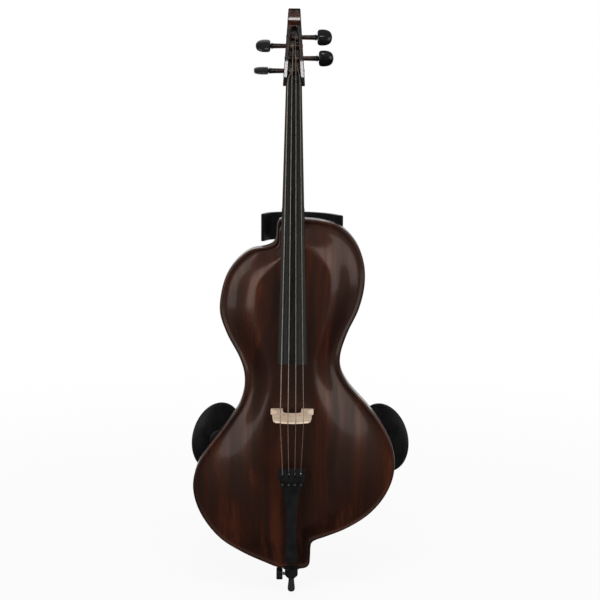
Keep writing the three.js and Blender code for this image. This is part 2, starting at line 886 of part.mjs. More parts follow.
// The nut sits on the neck's end against the fingerboard, a little wider than both
function makeNut() {
  const half = fingerboardNutWidth / 2 + nutOverhang;
  const shape = new THREE.Shape();
  const low = actionAtNut - nutRelief;
  shape.moveTo(low, 0);
  shape.lineTo(neckFront - fitGap, 0);
  shape.lineTo(neckFront - fitGap, nutLength);
  shape.lineTo(low + nutLength * 0.8, nutLength);
  shape.lineTo(low, nutLength * nutBreakShare);
  const nut = sideways(shape, half * 2);
  piece("nut", moved(nut, 0, 0, fitGap), ebony, neckGroup);
}

function pegboxWidth(z) {
  return mix(pegboxNutWidth, pegboxTopWidth, z / pegboxLength);
}

// Pegbox and curled head from their side view, narrowing upwards
function pegboxSolid() {
  const profile = [...headFrontShares, ...headBackShares].map(
    ([depth, height]) => new THREE.Vector2(depth * pegboxDepth, height * pegboxLength),
  );
  const geometry = sideways(new THREE.Shape(profile), 1);
  const position = geometry.attributes.position;
  for (let i = 0; i < position.count; i += 1) {
    const side = Math.sign(position.getX(i));
    position.setX(i, (side * pegboxWidth(position.getZ(i))) / 2);
  }
  return geometry;
}

// The open slot between the cheeks, narrowing like the pegbox
function slotSolid() {
  const front = -headCurl - overrun;
  const high = nutLength + slotLength;
  const section = (z) => {
    const half = pegboxWidth(z) / 2 - cheekThickness;
    const floor = mix(pegboxDepth, headDepth, z / pegboxLength) - slotFloor;
    return [
      new THREE.Vector3(-half, front, z),
      new THREE.Vector3(half, front, z),
      new THREE.Vector3(half, floor, z),
      new THREE.Vector3(-half, floor, z),
    ];
  };
  return skinned([section(nutLength), section(high)], ["x", "y"]);
}

function pegRadiusAt(name, x) {
  const far = -pegboxWidth(pegStations[name]) / 2 - pegEndProud;
  return pegSmallRadius + pegTaper * (x - far);
}

// A peg lying along +X from its small end to its head
function pegGeometry(name, grown) {
  const half = pegboxWidth(pegStations[name]) / 2;
  const far = -half - pegEndProud;
  const headStart = half + pegProjection;
  const collarStart = headStart - pegCollarWidth * 1.6;
  if (grown > 0) {
    const low = pegRadiusAt(name, far) + grown;
    const high = pegRadiusAt(name, collarStart) + grown;
    const start = far - overrun;
    return alongX(turned([[0, start], [low, start], [high, collarStart], [0, collarStart]], 12));
  }
  const shaft = turned(
    [
      [0, far],
      [pegRadiusAt(name, far) - pegChamfer, far],
      [pegRadiusAt(name, far), far + pegChamfer],
      [pegRadiusAt(name, collarStart), collarStart],
      [pegCollarRadius, collarStart + pegCollarWidth * 0.3],
      [pegCollarRadius, collarStart + pegCollarWidth * 0.8],
      [pegNeckRadius, collarStart + pegCollarWidth * 1.2],
      [pegNeckRadius, headStart + pegHeadLength / 5],
      [0, headStart + pegHeadLength / 5],
    ],
    12,
  );
  const head = moved(pegHead(), headStart, 0, 0);
  return geometryOf(solid(alongX(shaft)).add(solid(head)));
}

// A flat, rounded peg head along +X: widest near the collar, round at its outer end
function pegHead() {
  const sides = 12;
  const rings = pegHeadShares.map(([out, width]) => {
    const ring = [];
    for (let i = 0; i < sides; i += 1) {
      const angle = (i / sides) * Math.PI * 2;
      const y = (Math.sin(angle) * Math.sqrt(width) * pegHeadThickness) / 2;
      const z = (Math.cos(angle) * width * pegHeadWidth) / 2;
      ring.push(new THREE.Vector3(out * pegHeadLength, y, z));
    }
    return ring;
  });
  return skinned(rings, ["z", "y"]);
}

function makeNeck() {
  const top = -(nutZ - bodyTopZ) / Math.cos(neckLean);
  const steps = 8;
  const section = (z, depth) => {
    const half = fingerboardWidth(z) / 2;
    const ring = [];
    for (let i = 0; i <= steps; i += 1) {
      const angle = (i / steps) * Math.PI;
      const x = half * Math.cos(angle);
      ring.push(new THREE.Vector3(x, neckFront + depth * Math.sin(angle) ** 0.8, z));
    }
    return ring;
  };
  const rings = [
    section(nutLength + fitGap * 2, neckDepthAtNut),
    section(top / 3, neckDepthAtNut),
    section((top * 2) / 3, neckDepthAtHeel),
    section(top - heelLength / 2, neckDepthAtHeel),
  ];
  let neck = solid(skinned(rings, ["x", "y"]));
  neck = neck.add(solid(heelGeometry(0)));
  const lean = new THREE.Matrix4().makeRotationX(-degrees(pegboxLean));
  const raised = pegboxSolid().translate(0, 0, nutLength + fitGap * 2);
  neck = neck.add(solid(raised.applyMatrix4(lean)));
  neck = neck.subtract(solid(slotSolid().applyMatrix4(lean)));
  for (const name of stringNames) {
    const hole = pegGeometry(name, runningGap);
    if (pegSides[name] < 0) hole.rotateZ(Math.PI);
    moved(hole, 0, pegDepth, pegStations[name]);
    neck = neck.subtract(solid(hole.applyMatrix4(lean)));
  }
  const roomHigh = nutLength + fitGap * 2;
  const room = box(pegboxNutWidth * 2, neckFront * 4, roomHigh + pegboxDepth);
  moved(room, 0, -neckFront, (roomHigh - pegboxDepth) / 2);
  neck = neck.subtract(solid(room));
  piece("neck", neck, neckWood, neckGroup);
}

function makePegs() {
  for (const name of stringNames) {
    const peg = pegGeometry(name, 0);
    peg.rotateX(degrees(pegTurns[name]));
    if (pegSides[name] < 0) peg.rotateZ(Math.PI);
    moved(peg, 0, pegDepth, pegStations[name]);
    piece("peg_" + name, peg, ebony, pegboxGroup);
  }
}

const stringDiameters = {
  c: cStringDiameter,
  g: gStringDiameter,
  d: dStringDiameter,
  a: aStringDiameter,
};

// Place of a string across a spread, from -1/2 to 1/2
function stringShare(name) {
  return stringNames.indexOf(name) / (stringNames.length - 1) - 1 / 2;
}
function bridgeTopY(x) {
  const drop = bridgeCrownRadius - Math.sqrt(bridgeCrownRadius ** 2 - x * x);
  return crownY + drop;
}

// The whole of one string: fine tuner, bridge, nut, then its turns round the peg
function stringPath(name) {
  const radius = stringDiameters[name] / 2;
  const share = stringShare(name);
  const tunerX = share * 3 * tunerPitch;
  const forkFace = -tunerAxleStation + forkThickness / 2 + fitGap;
  const start = tailpieceGroup.localToWorld(
    new THREE.Vector3(tunerX, stringSeatDepth, forkFace),
  );
  const mouth = tailpieceGroup.localToWorld(
    new THREE.Vector3(tunerX, stringSeatDepth, -forkThickness),
  );
  const bridgeX = share * bridgeStringSpread;
  const restY = bridgeTopY(bridgeX) + bridgeNotchDepth - radius - fitGap * 2;
  const bridge = new THREE.Vector3(bridgeX, restY, crownZ);
  const nutX = share * nutStringSpread;
  const nut = neckGroup.localToWorld(new THREE.Vector3(nutX, 0, nutLength * nutBreakShare));
  const places = [start, mouth, bridge, nut];
  const station = pegStations[name];
  const side = pegSides[name];
  const turnX = side * (radius * 2 + windingGap);
  const pitch = radius * 2 + windingGap;
  const endX = turnX + side * pitch * windingTurns;
  const shaft = pegRadiusAt(name, Math.abs(endX));
  const windingRadius = shaft + fitGap + radius;
  const climb = station - nutLength * nutBreakShare;
  const distance = Math.hypot(pegDepth, climb);
  const first = Math.acos(windingRadius / distance) - Math.atan2(climb, pegDepth);
  const loopSteps = 14;
  const count = loopSteps * windingTurns;
  for (let i = 0; i <= count; i += 1) {
    const angle = first + (i / loopSteps) * Math.PI * 2;
    const local = new THREE.Vector3(
      turnX + (side * pitch * i) / loopSteps,
      pegDepth - windingRadius * Math.cos(angle),
      station + windingRadius * Math.sin(angle),
    );
    places.push(pegboxGroup.localToWorld(local));
  }
  console.log(`string_${name} turns: least gap ${windingGapOf(places, radius, loopSteps)} mm`);
  return places;
}

// Least gap between turns of a winding, measured on its own points
function windingGapOf(places, radius, loopSteps) {
  const wound = places.slice(-loopSteps * windingTurns);
  let least = Infinity;
  wound.forEach((place, i) => {
    for (let k = i + loopSteps / 2; k < wound.length; k += 1) {
      least = Math.min(least, place.distanceTo(wound[k]) - radius * 2);
    }
  });
  return least.toFixed(2);
}

function makeStrings() {
  for (const name of stringNames) {
    const path = stringPath(name);
    piece("string_" + name, tubeGeometry(path, stringDiameters[name] / 2, 6), steel);
  }
}

// Bridge: its outline cut from a wedge that thins towards the crown, with heart and kidneys
function makeBridge() {
  const half = bridgeFootSpan / 2;
  const right = bridgeShares.map(
    ([x, height]) => new THREE.Vector2(x * half, -height * bridgeHeight),
  );
  const crown = [];
  const crownSteps = 10;
  const edgeX = right[right.length - 1].x * 0.92;
  for (let i = 0; i <= crownSteps; i += 1) {
    const x = mix(edgeX, -edgeX, i / crownSteps);
    crown.push(new THREE.Vector2(x, bridgeTopY(x) - crownY - bridgeHeight));
  }
  const left = right
    .slice(1)
    .reverse()
    .map((point) => new THREE.Vector2(-point.x, point.y));
  const shape = new THREE.Shape([...right, ...crown, ...left]);
  const heart = new THREE.Path();
  heart.absarc(0, -bridgeHeight * 0.57, heartRadius, 0, Math.PI * 2);
  shape.holes.push(heart);
  for (const side of [-1, 1]) {
    const kidney = new THREE.Path();
    kidney.absellipse(
      side * half * 0.42,
      -bridgeHeight * 0.47,
      kidneyLength / 2,
      kidneyHeight / 2,
      0,
      Math.PI * 2,
      false,
      side * 0.5,
    );
    shape.holes.push(kidney);
  }
  const geometry = new THREE.ExtrudeGeometry(shape, {
    depth: bridgeFootThickness,
    bevelEnabled: false,
    curveSegments: 6,
  });
  const position = geometry.attributes.position;
  for (let i = 0; i < position.count; i += 1) {
    const rise = -position.getY(i) / bridgeHeight;
    const thickness = mix(bridgeFootThickness, bridgeCrownThickness, rise);
    const share = position.getZ(i) / bridgeFootThickness;
    position.setZ(i, share * thickness);
  }
  moved(geometry, 0, bellyRidgeY - fitGap, bridgeZ);
  let bridge = solid(geometry);
  for (const name of stringNames) {
    const x = stringShare(name) * bridgeStringSpread;
    const radius = stringDiameters[name] / 2;
    const groove = rod(radius + fitGap, bridgeZ - overrun, bridgeZ + overrun * 2, 12);
    const y = bridgeTopY(x) + bridgeNotchDepth - radius - fitGap;
    bridge = bridge.subtract(solid(moved(groove, x, y, 0)));
  }
  piece("bridge", bridge, mapleWood);
}

function tunerX(name) {
  return stringShare(name) * 3 * tunerPitch;
}

// Tailpiece: waisted outline with a crowned front, a well behind for the tuners' levers, a slot
// for each string and a hole for each tuner screw
function makeTailpiece() {
  const right = tailpieceShares.map(
    ([width, down]) => new THREE.Vector3(width * tailpieceTopWidth, 0, -down * tailpieceLength),
  );
  const left = right.map((point) => new THREE.Vector3(-point.x, 0, point.z)).reverse();
  const ends = [right[right.length - 1], left[0]];
  const curve = new THREE.CatmullRomCurve3(right, false, "centripetal").getPoints(20);
  const outline = curve.map((point) => new THREE.Vector2(point.x, point.z));
  const mirrored = outline.map((point) => new THREE.Vector2(-point.x, point.y)).reverse();
  const body = solid(plate([...outline, ...mirrored], 0, tailpieceThickness));
  const round = rod(tailpieceCrown, -tailpieceLength - overrun, overrun, 60);
  let tail = body.intersect(solid(moved(round, 0, tailpieceCrown, 0)));
  const wellHeight = tunerWellEnd - tunerWellStart;
  const wellDepth = tailpieceThickness - tunerWellDepth + overrun;
  const well = box(tunerWellWidth, wellDepth, wellHeight);
  moved(well, 0, tunerWellDepth + wellDepth / 2, -tunerWellStart - wellHeight / 2);
  tail = tail.subtract(solid(well));
  const hollowLow = tailpieceLength - tailCordSpread * 2;
  const hollow = box(ends[0].x, tailpieceThickness, hollowLow - tunerWellEnd - overrun * 2);
  const hollowMiddle = -(tunerWellEnd + hollowLow) / 2;
  moved(hollow, 0, tailpieceThickness * 1.25 - weld, hollowMiddle);
  tail = tail.subtract(solid(hollow));
  for (const name of stringNames) {
    const x = tunerX(name);
    const slot = box(stringSlotWidth, tailpieceThickness * 3, stringSlotLength + overrun);
    moved(slot, x, 0, (overrun - stringSlotLength) / 2);
    tail = tail.subtract(solid(slot));
    const hole = alongY(rod(tunerStemRadius + runningGap, -overrun, tailpieceThickness, 12));
    tail = tail.subtract(solid(moved(hole, x, 0, -tunerScrewStation)));
  }
  const half = tunerAxleLength / 2 + fitGap;
  const axleBore = alongX(rod(tunerAxleRadius + fitGap, -half, half, 12));
  tail = tail.subtract(solid(moved(axleBore, 0, tunerAxleDepth, -tunerAxleStation)));
  for (const side of [-1, 1]) {
    const low = -tailpieceLength - overrun;
    const bore = rod(tailCordDiameter / 2 + fitGap * 2, low, low + cordInTailpiece + overrun + fitGap, 10);
    tail = tail.subtract(solid(moved(bore, (side * tailCordSpread) / 2, cordDepth, 0)));
  }
  piece("tailpiece", tail, blackPlastic, tailpieceGroup);
  const axle = alongX(rod(tunerAxleRadius, -tunerAxleLength / 2, tunerAxleLength / 2, 12));
  moved(axle, 0, tunerAxleDepth, -tunerAxleStation);
  piece("tuner_axle", axle, steel, tailpieceGroup);
}
const tunerAxleLength = tunerWellWidth + 6 * fitGap;

// One fine tuner: a lever on the axle, a screw that pushes its tail, and the screw's knurled knob
function makeTuner(name) {
  const x = tunerX(name);
  const hub = alongX(rod(leverHubRadius, -leverWidth / 2, leverWidth / 2, 14));
  let lever = solid(moved(hub, 0, 0, 0));
  const tail = box(leverWidth, leverThickness, leverTail);
  lever = lever.add(solid(moved(tail, 0, leverThickness / 2, -leverTail / 2)));
  const forkTop = tunerAxleDepth - stringSeatDepth + ballRadius;
  const fork = box(stringSlotWidth - fitGap * 4, forkTop, forkThickness);
  lever = lever.add(solid(moved(fork, 0, -forkTop / 2, 0)));
  const ball = new THREE.SphereGeometry(ballRadius - fitGap, 8, 6);
  moved(ball, 0, stringSeatDepth - tunerAxleDepth, -forkThickness / 2);
  lever = lever.add(solid(ball));
  const bore = alongX(rod(tunerAxleRadius + runningGap, -leverWidth, leverWidth, 12));
  lever = lever.subtract(solid(bore));
  const placed = piece("tuner_lever_" + name, lever, steel, tailpieceGroup);
  placed.position.set(x, tunerAxleDepth, -tunerAxleStation);

  const knobLow = -tunerTravel - fitGap * 2;
  const stemEnd = tunerAxleDepth - fitGap;
  const dome = tunerStemRadius;
  const stem = turned(
    [
      [0, knobLow + fitGap],
      [tunerStemRadius, knobLow + fitGap],
      [tunerStemRadius, stemEnd - dome],
      [dome * Math.SQRT1_2, stemEnd - dome * (1 - Math.SQRT1_2)],
      [0, stemEnd],
    ],
    10,
  );
  const screw = piece("tuner_screw_" + name, alongY(stem), brass, tailpieceGroup);
  screw.position.set(x, 0, -tunerScrewStation);
  const knob = piece(
    "tuner_knob_" + name,
    knurledKnob(tunerKnobRadius, tunerKnobHeight, knurlCount),
    blackMetal,
    tailpieceGroup,
  );
  knob.position.set(x, knobLow, -tunerScrewStation);
}

// A knob along -Y from zero, with grips round its rim
function knurledKnob(radius, height, grips) {
  const shape = new THREE.Shape();
  const steps = grips * 3;
  for (let i = 0; i <= steps; i += 1) {
    const angle = (i / steps) * Math.PI * 2;
    const reach = radius * (0.95 + 0.05 * Math.cos(angle * grips));
    const x = reach * Math.cos(angle);
    const y = reach * Math.sin(angle);
    if (i === 0) shape.moveTo(x, y);
    else if (i < steps) shape.lineTo(x, y);
  }
  const bevel = radius * 0.12;
  const geometry = new THREE.ExtrudeGeometry(shape, {
    depth: height - bevel * 2,
    bevelThickness: bevel,
    bevelSize: bevel,
    bevelOffset: -bevel,
    bevelSegments: 1,
  });
  return geometry.translate(0, 0, bevel).rotateX(Math.PI / 2);
}

// Saddle: a rounded block let into the body's bottom edge under the tail cord
function saddleBlock(grown) {
  const width = saddleWidth + grown * 2;
  const shape = new THREE.Shape();
  const front = -ribHalfDepth - saddleHeight + shellWall - grown;
  const back = front + saddleDepth + grown * 2;
  const low = bodyBottomZ - grown;
  const high = bodyBottomZ + saddleHeight + grown;
  const roundness = saddleHeight / 2;
  shape.moveTo(back, low);
  shape.lineTo(back, high);
  shape.lineTo(front + roundness, high);
  shape.quadraticCurveTo(front, high, front, high - roundness);
  shape.lineTo(front, low + roundness);
  shape.quadraticCurveTo(front, low, front + roundness, low);
  return sideways(shape, width);
}

// Tail cord: out of the tailpiece, over the saddle and round the endpin collar
function makeTailCord() {
  const radius = tailCordDiameter / 2;
  const inside = tailpieceGroup.localToWorld(
    new THREE.Vector3(tailCordSpread / 2, cordDepth, -tailpieceLength + cordInTailpiece),
  );
  const mouth = tailpieceGroup.localToWorld(
    new THREE.Vector3(tailCordSpread / 2, cordDepth, -tailpieceLength - radius),
  );
  const saddleFront = -ribHalfDepth - saddleHeight + shellWall;
  const saddleY = saddleFront - radius - fitGap * 2;
  const loopRadius = collarRadius - collarGroove + radius + fitGap;
  const loopZ = bodyBottomZ - radius - fitGap * 2;
  const right = [
    inside,
    mouth,
    new THREE.Vector3(tailCordSpread / 2, saddleY, bodyBottomZ + saddleHeight / 2),
    new THREE.Vector3(tailCordSpread / 2, saddleY + radius / 2, bodyBottomZ - radius / 2),
  ];
  const loop = [];
  const loopSteps = 12;
  for (let i = 0; i <= loopSteps; i += 1) {
    const angle = mix(-cordWrap, Math.PI + cordWrap, i / loopSteps);
    loop.push(new THREE.Vector3(loopRadius * Math.cos(angle), loopRadius * Math.sin(angle), loopZ));
  }
  const left = right.map((p) => new THREE.Vector3(-p.x, p.y, p.z)).reverse();
  const route = new THREE.CatmullRomCurve3([...right, ...loop, ...left], false, "centripetal");
  const places = route.getPoints(36);
  piece("tail_cord", tubeGeometry(places, radius, 6), blackPlastic);
}

// Endpin: collar with a plug in the end block, the rod, its rubber tip and the clamp screw
function makeEndpin() {
  const plugTop = bodyBottomZ + plugLength;
  const face = bodyBottomZ - fitGap;
  const low = bodyBottomZ - collarLength;
  const grooveHigh = face;
  const grooveLow = face - tailCordDiameter - fitGap * 2;
  const roundness = collarGroove;
  let collar = solid(
    turned(
      [
        [0, low],
        [collarMouthRadius, low],
        [collarRadius - collarChamfer / 4, low + collarChamfer],
        [collarRadius, low + collarChamfer * 1.5],
        [collarRadius, grooveLow - roundness],
        [collarRadius - collarGroove, grooveLow],
        [collarRadius - collarGroove, grooveHigh],
        [plugRadius, grooveHigh],
        [plugRadius, plugTop],
        [0, plugTop],
      ],
      18,
    ),
  );
  const rodBore = rod(rodRadius + runningGap, low - overrun, plugTop + overrun, 16);
  collar = collar.subtract(solid(rodBore));
  const clampZ = bodyBottomZ - clampStation;
  const bore = alongX(rod(clampStemRadius + fitGap, -collarRadius - overrun, 0, 12));
  collar = collar.subtract(solid(moved(bore, 0, 0, clampZ)));
  piece("endpin_collar", collar, blackMetal);

  const rodLow = tipLength - tipSocketDepth + fitGap;
  const bar = turned(
    [
      [0, rodLow],
      [rodRadius, rodLow],
      [rodRadius, rodLow + rodLength - rodRadius / 2],
      [rodRadius * 0.6, rodLow + rodLength],
      [0, rodLow + rodLength],
    ],
    16,
  );
  piece("endpin_rod", bar, steel);
  let tip = solid(
    turned(
      [
        [0, 0],
        [tipFootRadius, 0],
        [tipRadius * 0.88, tipFootRadius * 0.45],
        [tipRadius, tipFootRadius * 1.2],
        [tipRadius, tipLength * 0.32],
        [tipTopRadius, tipLength * 0.8],
        [tipTopRadius, tipLength],
        [0, tipLength],
      ],
      16,
    ),
  );
  const socketLow = tipLength - tipSocketDepth;
  tip = tip.subtract(solid(rod(rodRadius + fitGap, socketLow, tipLength + overrun, 16)));
  piece("endpin_tip", tip, rubber);

  const clampStart = -rodRadius - fitGap;
  const knobFace = -collarRadius - clampTravel - fitGap * 6;
  const stem = alongX(rod(clampStemRadius, knobFace + fitGap, clampStart, 12));
  piece("endpin_screw", moved(stem, 0, 0, clampZ), steel);
  const knob = thumbKnob();
  knob.rotateZ(-Math.PI / 2);
  piece("endpin_knob", moved(knob, knobFace, 0, clampZ), blackPlastic);
}

// A lobed thumb knob along -Y from zero
function thumbKnob(radius = thumbKnobRadius, width = thumbKnobWidth) {
  const shape = new THREE.Shape();
  const steps = thumbKnobLobes * 4;
  for (let i = 0; i < steps; i += 1) {
    const angle = (i / steps) * Math.PI * 2;
    const reach = radius * (0.93 + 0.07 * Math.cos(angle * thumbKnobLobes));
    const point = [reach * Math.cos(angle), reach * Math.sin(angle)];
    if (i === 0) shape.moveTo(...point);
    else shape.lineTo(...point);
  }
  const bevel = width * 0.14;
  const geometry = new THREE.ExtrudeGeometry(shape, {
    depth: width - bevel * 2,
    bevelThickness: bevel,
    bevelSize: bevel,
    bevelOffset: -bevel,
    bevelSegments: 1,
  });
  return geometry.translate(0, 0, bevel).rotateX(Math.PI / 2);
}

const kneeSides = [
  { name: "left", side: -1, hubX: -kneeHubLeft, pivotX: -kneePivotLeft },
  { name: "right", side: 1, hubX: kneeHubRight, pivotX: kneePivotRight },
];
const kneePivotZ = bodyBottomZ + kneePivotShare * bodyLength;
const kneeHubZ = bodyBottomZ + kneeHubShare * bodyLength;
const kneeBossFace = backRidgeY + kneeBossRise;
const chestPostZ = centreBlockTopZ - chestPostDrop;
const chestRestLow = bodyBottomZ + chestRestShare * bodyLength;

function kneeBoss(pivotX) {
  const boss = alongY(rod(kneeBossRadius, backRidgeY - kneeBossRadius * 0.7, kneeBossFace, 18));
  return moved(boss, pivotX, 0, kneePivotZ);
}
function kneeBossBore(pivotX) {
  const low = kneeBossFace - kneeStemLength - fitGap;
  const bore = alongY(rod(kneeStemRadius + fitGap, low, kneeBossFace + overrun, 14));
  return moved(bore, pivotX, 0, kneePivotZ);
}

// A knee rest: an arm on a boss of the back, a hub that swivels on the arm's pin, and the plate
function makeKneeRest({ name, side, hubX, pivotX }) {
  const near = kneeBossFace + fitGap;
  const far = near + kneeArmThickness;
  const half = kneeArmWidth / 2;
  const run = new THREE.Vector2(hubX - pivotX, kneeHubZ - kneePivotZ);
  const heading = Math.atan2(run.y, run.x);
  const shape = new THREE.Shape();
  shape.absarc(0, 0, half, heading + Math.PI / 2, heading + Math.PI * 1.5);
  shape.absarc(run.x, run.y, half, heading - Math.PI / 2, heading + Math.PI / 2);
  let arm = solid(moved(plate(shape, near, far, 7), pivotX, 0, kneePivotZ));
  const pinLength = kneeHubHeight / 2;
  const pinRadius = kneeStemRadius * 1.4;
  const pin = alongY(rod(pinRadius, near + kneeArmThickness / 2, far + pinLength, 16));
  arm = arm.add(solid(moved(pin, hubX, 0, kneeHubZ)));
  const eye = alongY(rod(kneeStemRadius + runningGap, near - overrun, far + overrun, 16));
  arm = arm.subtract(solid(moved(eye, pivotX, 0, kneePivotZ)));
  piece("knee_arm_" + name, arm, blackMetal);

  const hubNear = far + fitGap;
  const hubFar = hubNear + kneeHubHeight;
  const hubRound = kneeHubRadius * 0.12;
  const tall = kneeHubHeight + kneeHubRadius;
  let hub = solid(
    alongY(
      turned(
        [
          [0, hubNear],
          [kneeHubRadius - hubRound, hubNear],
          [kneeHubRadius, hubNear + hubRound],
          [kneeHubRadius, hubNear + tall],
          [0, hubNear + tall],
        ],
        18,
      ),
    ),
  );
  const turn = side * degrees(kneePadYaw);
  const beyond = box(kneePadHeight * 2, kneePadHeight, kneePadHeight * 2);
  moved(beyond, 0, kneePadHeight / 2 - fitGap, 0).rotateZ(-turn);
  hub = hub.subtract(solid(moved(beyond, 0, hubFar, 0)));
  const pinRoom = alongY(rod(pinRadius + runningGap, near, far + pinLength + fitGap, 16));
  hub = hub.subtract(solid(pinRoom));
  piece("knee_hub_" + name, hub.translate([hubX, 0, kneeHubZ]), blackMetal);

  const rim = kneePadThickness * 0.3;
  const reach = kneePadHeight / 2;
  const profile = [[0, 0]];
  const steps = 3;
  for (let i = 1; i <= steps; i += 1) {
    const share = i / steps;
    const radius = reach * share - (i === steps ? rim : 0);
    profile.push([radius, kneePadDish * (radius / reach) ** 2]);
  }
  profile.push([reach, kneePadDish + kneePadThickness / 2]);
  for (let i = steps; i >= 0; i -= 1) {
    const share = i / steps;
    const radius = reach * share - (i === steps ? rim : 0);
    profile.push([Math.max(radius, 0), kneePadDish * (radius / reach) ** 2 + kneePadThickness]);
  }
  const pad = alongY(turned(profile, 26));
  pad.scale(kneePadWidth / kneePadHeight, 1, 1);
  pad.rotateY(-side * degrees(kneePadTilt)).rotateZ(-turn);
  piece("knee_pad_" + name, moved(pad, hubX, hubFar, kneeHubZ), blackPlastic);

  const knobFace = far + fitGap;
  const knob = thumbKnob().rotateX(Math.PI);
  let clamp = solid(moved(knob, 0, knobFace, 0));
  const stem = alongY(rod(kneeStemRadius, kneeBossFace - kneeStemLength, knobFace + weld, 14));
  clamp = clamp.add(solid(stem));
  piece("knee_knob_" + name, clamp.translate([pivotX, 0, kneePivotZ]), blackPlastic);
}

function chestPostHole(radius) {
  const low = -chestPostInner / 2 - fitGap;
  return moved(alongY(rod(radius, low, backRidgeY + overrun, 24)), 0, 0, chestPostZ);
}

// Chest rest: a socket on the back, a bracket that slides in it, the curved rest and a clamp screw
function makeChestRest() {
  const flangeNear = backRidgeY + fitGap;
  const flangeFar = flangeNear + chestFlangeThickness;
  const socketFar = flangeFar + chestSocketHeight;
  let socket = solid(
    alongY(
      turned(
        [
          [0, flangeNear],
          [chestFlangeRadius, flangeNear],
          [chestFlangeRadius, flangeFar - chestFlangeThickness / 4],
          [chestFlangeRadius - chestFlangeThickness / 4, flangeFar],
          [chestSocketRadius, flangeFar],
          [chestSocketRadius, socketFar],
          [0, socketFar],
        ],
        18,
      ),
    ),
  );
  const bore = alongY(rod(chestPostRadius + runningGap, 0, socketFar + overrun, 24));
  const screwY = flangeFar + thumbKnobRadius + fitGap * 2;
  const screwRoom = alongX(rod(clampStemRadius + fitGap, 0, chestSocketRadius + overrun, 12));
  socket = socket.subtract(solid(bore)).subtract(solid(moved(screwRoom, 0, screwY, 0)));
  piece("chest_socket", socket.translate([0, 0, chestPostZ]), blackMetal);

  const knobFace = chestSocketRadius + clampTravel + fitGap * 6;
  const stem = alongX(rod(clampStemRadius, chestPostRadius + fitGap, knobFace - fitGap, 12));
  piece("chest_screw", moved(stem, 0, screwY, chestPostZ), steel);
  const knob = thumbKnob().rotateZ(Math.PI / 2);
  piece("chest_knob", moved(knob, knobFace, screwY, chestPostZ), blackPlastic);

  const curve = chestCurve();
  const half = chestBarWidth / 2;
  const nearest = Math.min(...[-half, 0, half].map((x) => depthOn(curve, x)));
  const barFar = nearest - chestRestThickness / 2 - fitGap * 2;
  const barNear = barFar - chestBarThickness;
  const low = chestPostZ - half;
  const high = chestRestLow + chestRestHeight * 0.85;
  const barShape = roundedRectangle(chestBarWidth, high - low, half * 0.7);
  let bracket = solid(moved(plate(barShape, barNear, barFar, 4), 0, 0, (low + high) / 2));
  const post = alongY(rod(chestPostRadius, -chestPostInner / 2, barNear + weld, 24));
  bracket = bracket.add(solid(moved(post, 0, 0, chestPostZ)));
  piece("chest_bracket", bracket, blackMetal);

  const steps = 20;
  const outer = [];
  const inner = [];
  for (let i = 0; i <= steps; i += 1) {
    const place = curve.getPoint(i / steps);
    const along = curve.getTangent(i / steps);
    const normal = new THREE.Vector2(-along.y, along.x);
    const edge = Math.min(i, steps - i) / steps;
    const thick = (chestRestThickness / 2) * Math.min(1, chestRestLip + edge * 8);
    outer.push(new THREE.Vector2(place.x, place.y).addScaledVector(normal, thick));
    inner.push(new THREE.Vector2(place.x, place.y).addScaledVector(normal, -thick));
  }
  const rest = new THREE.Shape([...outer, ...inner.reverse()]);
  const bevel = chestRestThickness * 0.18;
  const band = new THREE.ExtrudeGeometry(rest, {
    depth: chestRestHeight - bevel * 2,
    bevelThickness: bevel,
    bevelSize: bevel,
    bevelOffset: -bevel,
    bevelSegments: 1,
  });
  piece("chest_rest", moved(band, 0, 0, chestRestLow + bevel), blackPlastic);
}

// Plan of the chest rest's middle line in X and Y, from its left end round the back
function chestCurve() {
  return new THREE.CatmullRomCurve3(
    [
      new THREE.Vector3(-chestRestLeft, chestLeftDepth, 0),
      new THREE.Vector3(-chestRestLeft * 0.74, mix(chestLeftDepth, chestRestBack, 0.66), 0),
      new THREE.Vector3(-chestRestLeft * 0.2, chestRestBack * 0.985, 0),
      new THREE.Vector3(chestRestRight * 0.24, chestRestBack * 0.985, 0),
      new THREE.Vector3(chestRestRight * 0.66, mix(chestRightDepth, chestRestBack, 0.66), 0),
      new THREE.Vector3(chestRestRight, chestRightDepth, 0),
    ],
    false,
    "centripetal",
  );
}
function depthOn(curve, x) {
  const points = curve.getPoints(120);
  points.sort((p, q) => Math.abs(p.x - x) - Math.abs(q.x - x));
  return points[0].y;
}

// Controls on the back: places of the knobs and the jack on the plate
const controlZ = bodyBottomZ + controlShare * bodyLength;
const jackZ = controlZ - knobPitch - knobHeight / 6;
const toneZ = controlZ;
const volumeZ = controlZ + knobPitch;
const plateNear = backRidgeY - controlPlateThickness;

function controlCuts() {
  const depth = controlPlateThickness + fitGap;
  const seat = roundedRectangle(
    controlPlateWidth + fitGap * 2,
    controlPlateLength + fitGap * 2,
    ledge + fitGap,
  );
  const window = roundedRectangle(
    controlPlateWidth - ledge * 2,
    controlPlateLength - ledge * 2,
    ledge / 2,
  );
  const low = backRidgeY - shellWall - overrun;
  return [
    moved(plate(seat, backRidgeY - depth, backRidgeY + overrun, 4), controlX, 0, controlZ),
    moved(plate(window, low, backRidgeY + overrun, 4), controlX, 0, controlZ),
  ];
}

